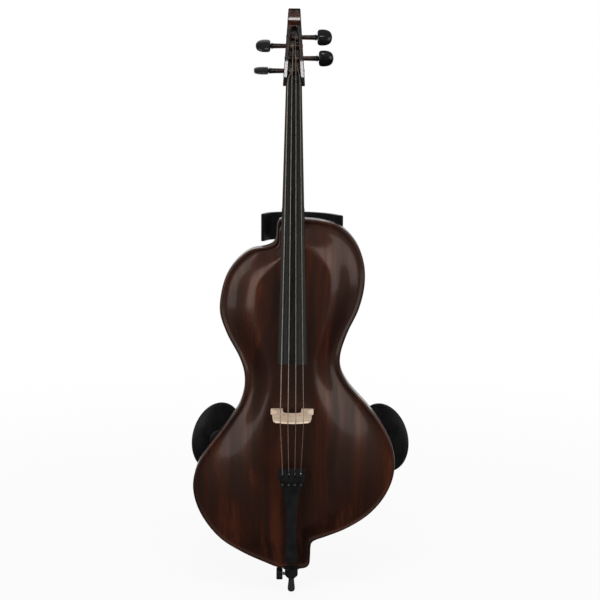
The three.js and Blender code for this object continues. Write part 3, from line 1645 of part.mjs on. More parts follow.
function makeControls() {
  const shape = roundedRectangle(controlPlateWidth, controlPlateLength, ledge);
  let panel = solid(moved(plate(shape, plateNear, backRidgeY, 4), controlX, 0, controlZ));
  const holeAt = (radius, z) => {
    const hole = alongY(rod(radius, plateNear - overrun, backRidgeY + overrun, 14));
    return solid(moved(hole, controlX, 0, z));
  };
  panel = panel.subtract(holeAt(knobStemRadius + runningGap, toneZ));
  panel = panel.subtract(holeAt(knobStemRadius + runningGap, volumeZ));
  panel = panel.subtract(holeAt(jackRadius + fitGap, jackZ));
  piece("control_plate", panel, blackPlastic);

  const potFar = plateNear - fitGap;
  const potNear = potFar - potHeight;
  const stemEnd = potFar - potHeight / 2;
  for (const [name, z] of [["volume_knob", volumeZ], ["tone_knob", toneZ]]) {
    const head = knurledKnob(knobRadius, knobHeight, knobGrips).rotateX(Math.PI);
    let knob = solid(moved(head, 0, backRidgeY + fitGap, 0));
    knob = knob.add(solid(alongY(rod(knobStemRadius, stemEnd, backRidgeY + weld, 14))));
    piece(name, knob.translate([controlX, 0, z]), blackPlastic);
  }

  const boardMiddle = (toneZ + volumeZ) / 2;
  const board = box(boardWidth, boardThickness, boardLength);
  const boardY = potNear - boardThickness / 2 + fitGap / 10;
  let preamp = solid(moved(board, controlX, boardY, boardMiddle));
  for (const z of [toneZ, volumeZ]) {
    const pot = alongY(rod(potRadius, potNear - boardThickness / 2, potFar, 20));
    preamp = preamp.add(solid(moved(pot, controlX, 0, z)));
  }
  for (const z of [toneZ, volumeZ]) {
    const bore = alongY(rod(knobStemRadius + runningGap, stemEnd - fitGap, potFar + overrun, 14));
    preamp = preamp.subtract(solid(moved(bore, controlX, 0, z)));
  }
  piece("preamp_board", preamp, boardGreen);

  const flange = backRidgeY + fitGap;
  const flangeHeight = jackRadius / 3;
  let jack = solid(
    alongY(
      turned(
        [
          [0, flange + flangeHeight - jackDepth],
          [jackRadius, flange + flangeHeight - jackDepth],
          [jackRadius, flange],
          [jackRadius * 1.4, flange],
          [jackRadius * 1.4, flange + flangeHeight],
          [0, flange + flangeHeight],
        ],
        24,
      ),
    ),
  );
  const jackFloor = flange + flangeHeight - jackDepth + jackRadius / 3;
  const jackBore = alongY(rod(jackBoreRadius, jackFloor, flange + flangeHeight + overrun, 24));
  jack = jack.subtract(solid(jackBore));
  piece("output_jack", jack.translate([controlX, 0, jackZ]), steel);
}

// Battery bay on the other side of the back: box, battery and a door on a rolled hinge edge
const bayWidth = batteryWidth + fitGap * 2 + batteryWall * 2;
const bayLength = batteryLength + fitGap * 2 + batteryWall * 2;
const doorWidth = bayWidth + batteryDoorLip * 2;
const doorLength = bayLength + batteryDoorLip * 2;
const bayFar = backRidgeY - batteryDoorThickness - fitGap;

function batteryCut() {
  const seat = box(
    doorWidth + runningGap * 2,
    batteryDoorThickness + fitGap + overrun,
    doorLength + runningGap * 4,
  );
  const seatMiddle = backRidgeY + (overrun - batteryDoorThickness - fitGap) / 2;
  const window = box(bayWidth + fitGap * 2, shellWall * 4, bayLength + fitGap * 2);
  const cut = solid(moved(seat, -controlX, seatMiddle, controlZ));
  return geometryOf(cut.add(solid(moved(window, -controlX, backRidgeY - shellWall, controlZ))));
}

function makeBattery() {
  const depth = batteryThickness + fitGap * 2 + batteryWall;
  const outer = box(bayWidth, depth, bayLength);
  let tray = solid(moved(outer, -controlX, bayFar - depth / 2, controlZ));
  const inner = box(batteryWidth + fitGap * 2, depth, batteryLength + fitGap * 2);
  tray = tray.subtract(
    solid(moved(inner, -controlX, bayFar + batteryWall - depth / 2, controlZ)),
  );
  piece("battery_box", tray, blackPlastic);
  const cell = plate(
    roundedRectangle(batteryWidth, batteryLength, batteryWall / 2),
    bayFar - fitGap - batteryThickness,
    bayFar - fitGap,
    3,
  );
  piece("battery", moved(cell, -controlX, 0, controlZ), blackPlastic);

  const half = batteryDoorThickness / 2;
  const door = new THREE.Shape();
  door.absarc(0, 0, half, 0, Math.PI);
  door.lineTo(-half, half - doorLength);
  door.lineTo(half, half - doorLength);
  const leaf = sideways(door, doorWidth);
  const top = controlZ + doorLength / 2 - half;
  piece("battery_door", moved(leaf, -controlX, backRidgeY - half, top), blackPlastic);
}

makeBody();
makeBlocks();
makeNeck();
makeFingerboard();
makeNut();
makePegs();
makeStrings();
makeBridge();
makeTailpiece();
for (const name of stringNames) makeTuner(name);
piece("saddle", saddleBlock(0), ebony);
makeTailCord();
makeEndpin();
makeChestRest();
for (const side of kneeSides) makeKneeRest(side);
makeControls();
makeBattery();

export default cello;
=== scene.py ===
# Electric cello, dressed for the render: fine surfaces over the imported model, materials, light and
# camera. Metres throughout, in the model's own frame: +Z up the instrument, the belly faces -Y.

import json
import math

import bmesh
import bpy
import numpy as np
from mathutils import Matrix, Vector


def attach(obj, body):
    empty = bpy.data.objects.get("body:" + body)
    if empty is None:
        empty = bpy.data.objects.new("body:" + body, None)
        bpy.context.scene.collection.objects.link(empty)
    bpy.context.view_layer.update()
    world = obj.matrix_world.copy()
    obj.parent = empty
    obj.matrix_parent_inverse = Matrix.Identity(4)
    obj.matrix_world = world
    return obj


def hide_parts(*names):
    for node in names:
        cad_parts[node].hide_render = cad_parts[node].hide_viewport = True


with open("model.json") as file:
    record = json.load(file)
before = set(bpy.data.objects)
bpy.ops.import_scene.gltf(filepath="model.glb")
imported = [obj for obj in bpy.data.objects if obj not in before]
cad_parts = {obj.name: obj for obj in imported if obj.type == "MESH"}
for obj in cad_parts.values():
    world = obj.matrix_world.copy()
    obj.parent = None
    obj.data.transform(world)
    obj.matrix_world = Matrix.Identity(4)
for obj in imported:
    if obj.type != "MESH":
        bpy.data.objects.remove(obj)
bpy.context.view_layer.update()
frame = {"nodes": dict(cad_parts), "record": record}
print("frame loaded:", len(frame["nodes"]), "nodes")

mm = 0.001
standOff = 0.6 * mm  # the wider play, round cords, cells and turning knobs
overshoot = 4 * mm  # how far a cutter passes the face it opens


# Meshes from grids.


def asPoints(*columns):
    # Equal-length arrays side by side as an array of points.
    return np.stack(np.broadcast_arrays(*columns), axis=-1).astype(float)


def unitRows(vectors):
    return vectors / np.maximum(np.linalg.norm(vectors, axis=-1, keepdims=True), 1e-12)


def smoothStep(share):
    held = np.clip(share, 0, 1)
    return held * held * (3 - 2 * held)


def splinePoints(controls, perSpan, closed=False):
    # Centripetal Catmull-Rom through the controls: each span's tangents come from the square roots
    # of its neighbouring distances, and the span is the cubic that has them.
    controls = np.asarray(controls, float)
    if closed:
        wide = np.concatenate([controls[-1:], controls, controls[:2]])
    else:
        first = 2 * controls[:1] - controls[1:2]
        last = 2 * controls[-1:] - controls[-2:-1]
        wide = np.concatenate([first, controls, last])
    p0, p1, p2, p3 = wide[:-3], wide[1:-2], wide[2:-1], wide[3:]
    step = lambda a, b: np.maximum(np.linalg.norm(b - a, axis=1), 1e-9)[:, None] ** 0.5
    d0, d1, d2 = step(p0, p1), step(p1, p2), step(p2, p3)
    t1 = ((p1 - p0) / d0 - (p2 - p0) / (d0 + d1) + (p2 - p1) / d1) * d1
    t2 = ((p2 - p1) / d1 - (p3 - p1) / (d1 + d2) + (p3 - p2) / d2) * d1
    t = (np.arange(perSpan) / perSpan)[None, :, None]
    a, b = 2 * p1 - 2 * p2 + t1 + t2, -3 * p1 + 3 * p2 - 2 * t1 - t2
    run = a[:, None] * t**3 + b[:, None] * t**2 + t1[:, None] * t + p1[:, None]
    run = run.reshape(-1, controls.shape[1])
    return run if closed else np.concatenate([run, controls[-1:]])


def evenPoints(points, count):
    # The same line with its points an equal distance apart.
    along = np.concatenate([[0], np.cumsum(np.linalg.norm(np.diff(points, axis=0), axis=1))])
    wanted = np.linspace(0, along[-1], count)
    return np.stack([np.interp(wanted, along, column) for column in points.T], axis=1)


def sizes(**millimetres):
    return {name: value * mm for name, value in millimetres.items()}


def looseObject(name, part):
    # A mesh object from (points, faces), its doubled points merged and its faces turned outwards.
    points, faces = part
    mesh = bpy.data.meshes.new(name)
    mesh.from_pydata(points.tolist(), [], faces)
    mesh.validate()
    work = bmesh.new()
    work.from_mesh(mesh)
    bmesh.ops.remove_doubles(work, verts=work.verts, dist=1e-6)
    bmesh.ops.recalc_face_normals(work, faces=work.faces)
    work.to_mesh(mesh)
    work.free()
    piece = bpy.data.objects.new(name, mesh)
    bpy.context.scene.collection.objects.link(piece)
    return piece


def carved(part, cuts=(), joins=()):
    # A closed part with others joined to it and then others cut out of it, by exact booleans.
    base = looseObject("base", part)
    tools = []
    for operation, others in (("UNION", joins), ("DIFFERENCE", cuts)):
        for other in others:
            tool = looseObject("tool", other)
            modifier = base.modifiers.new(operation.lower(), "BOOLEAN")
            modifier.operation = operation
            modifier.solver = "EXACT"
            modifier.object = tool
            tools.append(tool)
    bpy.context.view_layer.update()
    done = bpy.data.meshes.new_from_object(base.evaluated_get(bpy.context.evaluated_depsgraph_get()))
    points = np.empty(len(done.vertices) * 3)
    done.vertices.foreach_get("co", points)
    faces = [list(polygon.vertices) for polygon in done.polygons]
    for thing in [base, *tools]:
        mesh = thing.data
        bpy.data.objects.remove(thing)
        bpy.data.meshes.remove(mesh)
    bpy.data.meshes.remove(done)
    return points.reshape(-1, 3), faces


def dress(piece, body, finish, sharp):
    # Its finish, smooth shading up to edges sharper than an angle, its slot and the body it rides.
    piece.data.materials.clear()
    piece.data.materials.append(finish)
    piece.data.shade_smooth()
    if sharp:
        piece.data.set_sharp_from_angle(angle=math.radians(sharp))
    even = piece.modifiers.new("flatFaces", "WEIGHTED_NORMAL")  # flats stay flat up to their bevels
    even.keep_sharp = True
    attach(piece, body)


def gridFaces(rows, columns):
    # Quads between neighbouring rings of a grid numbered ring by ring.
    r, c = np.meshgrid(np.arange(rows - 1), np.arange(columns), indexing="ij")
    up, right = r + 1, (c + 1) % columns
    quads = np.stack([r * columns + c, r * columns + right, up * columns + right, up * columns + c], -1)
    return quads.reshape(-1, 4).tolist()


def skin(grid, flip=False):
    # Closed rings, one per row, joined into a tube, with a cap at each end.
    rows, columns = grid.shape[:2]
    faces = gridFaces(rows, columns)
    faces.append(list(range(columns))[::-1])
    faces.append([(rows - 1) * columns + i for i in range(columns)])
    if flip:
        faces = [face[::-1] for face in faces]
    return grid.reshape(-1, 3), faces


def joined(*parts):
    # Several (points, faces) pairs as one.
    points, faces, count = [], [], 0
    for some, theirs in parts:
        points.append(some)
        faces += [[i + count for i in face] for face in theirs]
        count += len(some)
    return np.concatenate(points), faces


def revolve(profile, sides=48):
    # Profile points (radius, height) turned about Z: x = r cos a, y = r sin a.
    profile = np.asarray(profile, float)
    angle = np.arange(sides) / sides * 2 * np.pi
    x = profile[:, :1] * np.cos(angle)
    y = profile[:, :1] * np.sin(angle)
    return skin(asPoints(x, y, profile[:, 1:2] + 0 * x))


def rounded(corners, radius, steps=4):
    # A profile with each inner corner rounded: points on the quadratic from a point before the
    # corner to a point after it, at most half a side away.
    corners = np.asarray(corners, float)
    line = [corners[:1]]
    for before, here, after in zip(corners[:-2], corners[1:-1], corners[2:]):
        back, ahead = before - here, after - here
        reach = min(radius, np.linalg.norm(back) * 0.49, np.linalg.norm(ahead) * 0.49)
        a = here + back / max(np.linalg.norm(back), 1e-12) * reach
        b = here + ahead / max(np.linalg.norm(ahead), 1e-12) * reach
        t = np.linspace(0, 1, steps + 1)[:, None]
        line.append((1 - t) ** 2 * a + 2 * t * (1 - t) * here + t**2 * b)
    line.append(corners[-1:])
    return np.concatenate(line)


alongX, alongY = (1, 0, 0), (0, 1, 0)


def turnTo(part, axis, place=(0, 0, 0)):
    # A part built about Z, laid along another axis and moved into place.
    points, faces = part
    turn = np.array(Vector((0, 0, 1)).rotation_difference(Vector(axis)).to_matrix())
    return points @ turn.T + np.asarray(place, float), faces


def placed(part, matrix):
    points, faces = part
    matrix = np.array(matrix)
    return points @ matrix[:3, :3].T + matrix[:3, 3], faces


def tube(path, radius, sides):
    # A round section carried along a path without twist: each frame is the last one turned by the
    # bend between the two tangents.
    path = np.asarray(path, float)
    tangent = unitRows(np.gradient(path, axis=0))
    side = np.zeros_like(path)
    start = np.cross(tangent[0], [0, 0, 1] if abs(tangent[0][2]) < 0.9 else [1, 0, 0])
    side[0] = start / np.linalg.norm(start)
    for i in range(1, len(path)):
        carried = side[i - 1] - tangent[i] * (side[i - 1] @ tangent[i])
        side[i] = carried / np.linalg.norm(carried)
    other = np.cross(tangent, side)
    angle = np.arange(sides) / sides * 2 * np.pi
    ring = side[:, None] * np.cos(angle)[None, :, None] + other[:, None] * np.sin(angle)[None, :, None]
    return skin(path[:, None] + ring * radius)


def inset(loop, amount):
    # A closed outline, anticlockwise, moved inwards: each point goes along the middle of its two
    # edges' normals, by amount over the cosine of half their angle.
    edge = unitRows(np.roll(loop, -1, axis=0) - loop)
    normal = np.stack([-edge[:, 1], edge[:, 0]], axis=1)
    middle = unitRows(normal + np.roll(normal, 1, axis=0))
    cosine = np.maximum(np.sum(middle * normal, axis=1, keepdims=True), 0.5)
    return loop + middle * amount / cosine


def slab(loop, low, high, bevel, steps=4, lobes=False):
    # An outline given thickness along Z, its rims rounded with the bevel's radius. Fine lobes would cross
    # themselves when moved inwards, so a lobed outline is shrunk towards the origin instead.
    turn = np.linspace(0, np.pi / 2, steps + 1)
    rims = [(bevel * (1 - np.sin(t)), low + bevel * (1 - np.cos(t))) for t in turn]
    rims += [(bevel * (1 - np.sin(t)), high - bevel * (1 - np.cos(t))) for t in turn[::-1]]
    rings = []
    for inward, z in rims:
        ring = loop * (1 - inward / np.abs(loop).max()) if lobes else inset(loop, inward)
        rings.append(asPoints(ring[:, 0], ring[:, 1], z))
    return skin(np.stack(rings))


def lobed(radius, depth, lobes, sides):
    # Radius times (1 - depth + depth cos(lobes times the angle)).
    angle = np.arange(sides) / sides * 2 * np.pi
    reach = radius * (1 - depth + depth * np.cos(lobes * angle))
    return asPoints(reach * np.cos(angle), reach * np.sin(angle))


def roundedBox(width, height, radius, steps=6):
    # A rectangle's outline about the origin with round corners, anticlockwise.
    angle = np.linspace(0, np.pi / 2, steps + 1)
    line = []
    for quarter, (sx, sy) in enumerate(((1, 1), (-1, 1), (-1, -1), (1, -1))):
        turned = angle + quarter * np.pi / 2
        x = sx * (width / 2 - radius) + radius * np.cos(turned)
        y = sy * (height / 2 - radius) + radius * np.sin(turned)
        line.append(asPoints(x, y))
    return np.concatenate(line)


def rodPart(radius, low, high, sides=40, bevel=0.0):
    if not bevel:
        return revolve([(0, low), (radius, low), (radius, high), (0, high)], sides)
    corners = [(0, low), (radius - bevel, low), (radius, low + bevel)]
    corners += [(radius, high - bevel), (radius - bevel, high), (0, high)]
    return revolve(corners, sides)


def moved(part, x, y, z):
    return part[0] + np.array([x, y, z]), part[1]


def sideways(part):
    # A part drawn in side view, depth and height, with its thickness laid along X.
    return part[0][:, [2, 0, 1]], part[1]


def backwards(part, x=0, z=0):
    # A part built along Z, laid along +Y at a place seen from behind.
    return asPoints(part[0][:, 0] + x, part[0][:, 2], part[0][:, 1] + z), part[1]


# Camera, floor and light.

cameraSettings = dict(
    place=(14.8 * mm, -3525.5 * mm, 1245.6 * mm),
    target=(14.8 * mm, -78.7 * mm, 637.9 * mm),
    lens=104.8,
    sensor=36,
    roll=0.0061,
)


def makeCamera(s):
    camera = bpy.data.objects.new("photoCamera", bpy.data.cameras.new("photoCamera"))
    bpy.context.scene.collection.objects.link(camera)
    camera.data.lens = s["lens"]
    camera.data.sensor_width = s["sensor"]
    camera.data.clip_end = 50
    look = Vector(s["target"]) - Vector(s["place"])
    turn = look.to_track_quat("-Z", "Y").to_matrix() @ Matrix.Rotation(s["roll"], 3, "Z")
    camera.matrix_world = Matrix.Translation(s["place"]) @ turn.to_4x4()
    bpy.context.scene.camera = camera


makeCamera(cameraSettings)

lightSettings = [  # shown: whether it is seen in reflections
    dict(
        name="leftBox", place=(-1.62, -2.62, 1.05), aim=(0, 0, 0.75), size=(1.55, 2.0), watts=21, shown=True
    ),
    dict(name="rightBox", place=(1.62, -2.62, 1.0), aim=(0, 0, 0.7), size=(1.55, 1.95), watts=20, shown=True),
    dict(name="topBox", place=(0.1, -1.6, 2.9), aim=(0, 0, 0.7), size=(1.6, 0.9), watts=16, shown=False),
    dict(
        name="headGlint", place=(0, -1.0, 1.719), aim=(0, 0, 1.1), size=(0.17, 0.048), watts=0.6, shown=True
    ),
]


def makeLights(rows):
    for row in rows:
        light = bpy.data.lights.new(row["name"], "AREA")
        light.shape = "RECTANGLE"
        light.size, light.size_y = row["size"]
        light.energy = row["watts"]
        holder = bpy.data.objects.new(row["name"], light)
        holder.visible_glossy = row["shown"]
        bpy.context.scene.collection.objects.link(holder)
        look = Vector(row["aim"]) - Vector(row["place"])
        turn = look.to_track_quat("-Z", "Y").to_matrix().to_4x4()
        holder.matrix_world = Matrix.Translation(row["place"]) @ turn


makeLights(lightSettings)


class Socket:
    # One output socket, so that shader maths reads as an expression: each operator adds a node.
    def __init__(self, finish, socket):
        self.finish = finish
        self.socket = socket

    def maths(self, operation, *values):
        return self.finish.node("Math", dict(operation=operation), dict(enumerate(values)))

    def most(self, other):
        return self.maths("MAXIMUM", self, other)

    def __add__(self, other):
        return self.maths("ADD", self, other)

    def __sub__(self, other):
        return self.maths("SUBTRACT", self, other)

    def __rsub__(self, other):
        return self.maths("SUBTRACT", other, self)

    def __mul__(self, other):
        return self.maths("MULTIPLY", self, other)

    def __truediv__(self, other):
        return self.maths("DIVIDE", self, other)

    def __pow__(self, other):
        return self.maths("POWER", self, other)

    __radd__ = __add__
    __rmul__ = __mul__


class Graph:
    # A node tree with one method that adds any node, its settings and its inputs.
    def __init__(self, tree):
        self.tree = tree

    def feed(self, socket, value):
        if isinstance(value, Socket):
            self.tree.links.new(value.socket, socket)
        elif hasattr(value, "__len__") and len(value) == 3 and socket.type == "RGBA":
            socket.default_value = (*value, 1)
        else:
            socket.default_value = value

    def node(self, kind, settings=None, inputs=None, output=0):
        made = self.tree.nodes.new("ShaderNode" + kind)
        for key, value in (settings or {}).items():
            if key == "stops":
                ramp = made.color_ramp
                while len(ramp.elements) < len(value):
                    ramp.elements.new(0.5)
                for element, (place, colour) in zip(ramp.elements, value):
                    element.position = place
                    element.color = (*colour, 1) if hasattr(colour, "__len__") else (colour,) * 3 + (1,)
            else:
                setattr(made, key, value)
        for key, value in (inputs or {}).items():
            self.feed(made.inputs[key], value)
        return Socket(self, made.outputs[output])

    def mapRange(self, value, low, high, toLow=0.0, toHigh=1.0):
        settings = dict(interpolation_type="SMOOTHSTEP")
        return self.node("MapRange", settings, {0: value, 1: low, 2: high, 3: toLow, 4: toHigh})

    def place(self, scale=(1, 1, 1)):
        where = self.node("TexCoord", output="Object")
        return self.node("Mapping", {}, dict(Vector=where, Scale=scale))

    def noise(self, where, scale, detail=4, rough=0.5, distortion=0.0):
        return self.node(
            "TexNoise", {},
            dict(Vector=where, Scale=scale, Detail=detail, Roughness=rough, Distortion=distortion),
        )

    def ramp(self, value, stops):
        return self.node("ValToRGB", dict(stops=stops), {0: value})

    def mix(self, share, first, second):
        # The colour version's sockets: its share is input 0, its colours 6 and 7, its result output 2.
        return self.node("Mix", dict(data_type="RGBA"), {0: share, 6: first, 7: second}, output=2)


class Finish(Graph):
    # A material with its main shader.
    def __init__(self, name, **constants):
        self.material = bpy.data.materials.new(name)
        self.material.use_nodes = True
        super().__init__(self.material.node_tree)
        self.shader = self.tree.nodes["Principled BSDF"]
        self.set(**constants)

    def set(self, **values):
        names = dict(
            colour="Base Color", rough="Roughness", metal="Metallic", coat="Coat Weight",
            coatRough="Coat Roughness", normal="Normal", specular="Specular IOR Level",
            coatIor="Coat IOR", tint="Specular Tint",
        )
        for key, value in values.items():
            self.feed(self.shader.inputs[names[key]], value)

    def bump(self, height, strength, distance=0.001):
        made = self.node("Bump", {}, dict(Height=height, Strength=strength, Distance=distance))
        self.set(normal=made)


# Backdrop and floor: white to the camera and through clear things. In reflections the room is white
# behind the instrument and a dimmer grey in front of it, falling to dark below.
stageSettings = dict(
    height=-0.0005, reach=9.0, colour=(0.86, 0.86, 0.86), sky=0.62, lift=0.88,
    front=[(0.0, 0.1), (0.12, 0.18), (0.5, 0.26), (1.0, 0.36)],  # sine of height, and the grey there
    near=0.6, far=3.0, dark=0.015,  # the floor in reflections: dark from near, as the room from far
)


def makeWorld(s):
    world = bpy.data.worlds.new("studio")
    bpy.context.scene.world = world
    world.use_nodes = True
    world.cycles.sampling_method = "NONE"  # the room is even, and each kind of ray has its own look at it
    g = Graph(world.node_tree)
    way = g.node("TexCoord", output="Generated")
    apart = g.node("SeparateXYZ", {}, {0: way})
    y, z = (Socket(g, apart.socket.node.outputs[i]) for i in (1, 2))
    front = g.ramp(z, s["front"])
    room = g.mix(g.mapRange(y, 0.1, 0.5), front, (1, 1, 1))
    rays = g.node("LightPath").socket.node.outputs
    clear = Socket(g, rays["Is Camera Ray"]).most(Socket(g, rays["Is Transmission Ray"]))
    plain = g.mix(Socket(g, rays["Is Glossy Ray"]), (s["sky"],) * 3, room)
    g.feed(g.tree.nodes["Background"].inputs["Color"], g.mix(clear, plain, (1, 1, 1)))


def makeFloor(s):
    f = Finish("floorPaper", colour=s["colour"], rough=0.9)
    where = f.node("TexCoord", output="Object")
    apart = f.node("SeparateXYZ", {}, {0: where})
    behind = f.mapRange(Socket(f, apart.socket.node.outputs[1]), 0.3, 1.0)
    away = f.node("VectorMath", dict(operation="LENGTH"), {0: where}, output=1)
    rays = f.node("LightPath").socket.node.outputs
    kinds = ("Camera", "Glossy", "Transmission")
    camera, glossy, through = (Socket(f, rays[f"Is {kind} Ray"]) for kind in kinds)
    ahead = f.mix(f.mapRange(away, s["near"], s["far"]), (s["dark"],) * 3, (s["front"][0][1],) * 3)
    dim = f.mix(behind, ahead, (1, 1, 1))
    paint = f.node("Emission", {}, dict(Color=f.mix(glossy, (1, 1, 1), dim)))
    lift = f.mapRange(away, 0.3, 2.5, s["lift"], 1.0)
    lit = (camera.most(through) * lift).most(glossy)
    blend = f.node("MixShader", {}, {0: lit, 1: Socket(f, f.shader.outputs[0]), 2: paint})
    f.feed(f.tree.nodes["Material Output"].inputs["Surface"], blend)
    mesh = bpy.data.meshes.new("floor")
    r = s["reach"]
    corners = [(-r, -r, s["height"]), (r, -r, s["height"]), (r, r, s["height"]), (-r, r, s["height"])]
    mesh.from_pydata(corners, [], [(0, 1, 2, 3)])
    floor = bpy.data.objects.new("floor", mesh)
    mesh.materials.append(f.material)
    bpy.context.scene.collection.objects.link(floor)


makeWorld(stageSettings)
makeFloor(stageSettings)
bpy.context.scene.view_settings.view_transform = "Standard"
print("camera, light and floor made")


# Finishes.


def veneerFinish():
    # Dark glossy veneer: stripes that run up the body, a slow cloud of red and black between them,
    # fine pores, all under a clear lacquer that lets the stripes shine.
    f = Finish("stripedVeneer", coat=0.28, coatRough=0.1, coatIor=1.5, specular=0.5, tint=(1.0, 0.6, 0.46))
    warp = f.noise(f.place(scale=(2.2, 1, 0.9)), 2.4, 2, 0.5)
    stretched = f.place(scale=(26, 8, 1.1))
    shifted = f.node("VectorMath", dict(operation="ADD"), {0: stretched, 1: warp * 3.0})
    stripes = f.noise(shifted, 1.0, 5, 0.55, 0.4)
    fine = f.noise(f.place(scale=(160, 60, 3.0)), 1.0, 4, 0.6)
    cloud = f.noise(f.place(scale=(1, 0.35, 1)), 3.2, 3, 0.5, 0.6)
    value = stripes * 0.62 + cloud * 0.3 + fine * 0.16
    colour = f.ramp(
        value,
        [
            (0.36, (0.0042, 0.0015, 0.0012)),
            (0.47, (0.0115, 0.0034, 0.0021)),
            (0.55, (0.0230, 0.0064, 0.0036)),
            (0.63, (0.0470, 0.0130, 0.0064)),
            (0.76, (0.0850, 0.0270, 0.0125)),
        ],
    )
    f.set(colour=colour, rough=f.mapRange(value, 0.4, 0.66, 0.46, 0.2))
    return f.material


def neckFinish():
    # Red-brown wood mottled with black, polished.
    f = Finish("stainedMaple", coat=0.6, coatRough=0.02, specular=0.3)
    flame = f.noise(f.place(scale=(14, 14, 46)), 1.0, 3, 0.5, 0.8)
    streak = f.noise(f.place(scale=(150, 150, 9)), 1.0, 4, 0.6)
    value = flame * 0.6 + streak * 0.4
    colour = f.ramp(
        value,
        [
            (0.38, (0.0040, 0.0016, 0.0011)),
            (0.5, (0.0140, 0.0042, 0.0021)),
            (0.58, (0.0380, 0.0115, 0.0048)),
            (0.72, (0.0900, 0.0330, 0.0130)),
        ],
    )
    f.set(colour=colour, rough=value * 0.25 + 0.2)
    return f.material


def ebonyFinish():
    # Near-black wood with a faint lengthwise grain and a soft polish.
    f = Finish("ebony", specular=0.16)
    grain = f.noise(f.place(scale=(260, 260, 8)), 1.0, 4, 0.6)
    colour = f.ramp(grain, [(0.35, (0.004, 0.0042, 0.0042)), (0.7, (0.011, 0.0112, 0.0105))])
    f.set(colour=colour, rough=grain * 0.18 + 0.2)
    f.bump(grain, 0.03, 0.0003)
    return f.material


def pegFinish():
    # Glossy black heads and collars on dark red-brown shafts, told apart by the distance from the
    # middle of the pegbox.
    f = Finish("pegWood", specular=0.3, coat=0.3, coatRough=0.05)
    apart = f.node("SeparateXYZ", {}, {0: f.node("TexCoord", output="Object")})
    head = f.mapRange(apart.maths("ABSOLUTE", apart), 37 * mm, 38 * mm)
    grain = f.noise(f.place(scale=(9, 220, 220)), 1.0, 3, 0.6)
    shaft = f.ramp(grain, [(0.35, (0.010, 0.0035, 0.0024)), (0.7, (0.034, 0.0110, 0.0075))])
    black = f.ramp(grain, [(0.35, (0.0022, 0.0022, 0.0023)), (0.7, (0.0052, 0.0050, 0.0050))])
    f.set(colour=f.mix(head, shaft, black), rough=grain * 0.12 + 0.16)
    return f.material


def mapleFinish():
    # Pale bare maple with short darker flecks, as a bridge is cut.
    f = Finish("bridgeMaple", specular=0.35)
    band = f.noise(f.place(scale=(10, 30, 60)), 3.0, 3, 0.5)
    fleck = f.noise(f.place(scale=(420, 420, 90)), 1.0, 2, 0.5)
    flecks = f.ramp(fleck, [(0.58, 0.0), (0.68, 1.0)])
    base = f.ramp(band, [(0.3, (0.64, 0.46, 0.33)), (0.7, (0.80, 0.64, 0.49))])
    f.set(colour=f.mix(flecks * 0.3, base, (0.42, 0.25, 0.15)), rough=band * 0.1 + 0.42)
    f.bump(fleck, 0.06, 0.0003)
    return f.material


def innerFinish():
    f = Finish("innerSpruce", rough=0.7)
    grain = f.noise(f.place(scale=(240, 240, 8)), 1.0, 3, 0.6)
    f.set(colour=f.ramp(grain, [(0.3, (0.50, 0.34, 0.19)), (0.7, (0.68, 0.52, 0.33))]))
    return f.material


def mottled(name, dark, pale, rough, spread, scale, metal=0.0, lift=0.02, **more):
    # Moulded or painted surface: two close colours in a fine cloud, roughness that follows it.
    f = Finish(name, metal=metal, **more)
    cloud = f.noise(f.place(), scale, 4, 0.55)
    f.set(colour=f.ramp(cloud, [(0.3, dark), (0.7, pale)]), rough=cloud * spread + (rough - spread / 2))
    grainy = f.noise(f.place(), scale * 14, 2, 0.5)
    f.bump(grainy, lift, 0.0004)
    return f.material


finishes = dict(
    veneer=veneerFinish(),
    neck_wood=neckFinish(),
    ebony=ebonyFinish(),
    bridge_maple=mapleFinish(),
    inner_wood=innerFinish(),
    steel=mottled("brushedSteel", (0.50, 0.50, 0.51), (0.66, 0.66, 0.67), 0.26, 0.14, 60, metal=1.0),
    brass=mottled("agedBrass", (0.50, 0.36, 0.15), (0.70, 0.54, 0.26), 0.28, 0.16, 80, metal=1.0),
    black_metal=mottled(
        "blackLacquer", (0.006, 0.006, 0.007), (0.014, 0.014, 0.015), 0.32, 0.12, 60, lift=0.03, specular=0.3
    ),
    black_plastic=mottled(
        "blackMoulding", (0.006, 0.0062, 0.0066), (0.013, 0.0132, 0.0138), 0.36, 0.14, 45,
        lift=0.05, specular=0.22,
    ),
    black_rubber=mottled(
        "blackRubber", (0.008, 0.008, 0.008), (0.018, 0.0175, 0.017), 0.72, 0.14, 90, lift=0.12
    ),
    board=mottled("circuitBoard", (0.012, 0.075, 0.03), (0.02, 0.12, 0.05), 0.4, 0.2, 30),
    pickup=mottled("paleCeramic", (0.72, 0.70, 0.64), (0.84, 0.82, 0.77), 0.45, 0.2, 50),
)
pegWood = pegFinish()
stringSteel = mottled("woundString", (0.20, 0.165, 0.135), (0.34, 0.29, 0.24), 0.34, 0.12, 160, metal=0.6)
materialOf = {row["node"]: row["material_slot"] for row in frame["record"]["subparts"]}
bodyOf = {node: body for body, nodes in frame["record"]["behaviour"]["bodies"].items() for node in nodes}
for name, node in frame["nodes"].items():
    node.data.materials.clear()
    node.data.materials.append(finishes[materialOf[name]])
print("finishes made")


def replace(name, part, sharp=35, finish=None):
    # A finer piece in a node's place: it rides and is finished as the node is.
    slot = materialOf[name]
    piece = looseObject(name + "_fine", part)
    dress(piece, bodyOf[name], finish or finishes[slot], sharp)
    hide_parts(name)


# Body.

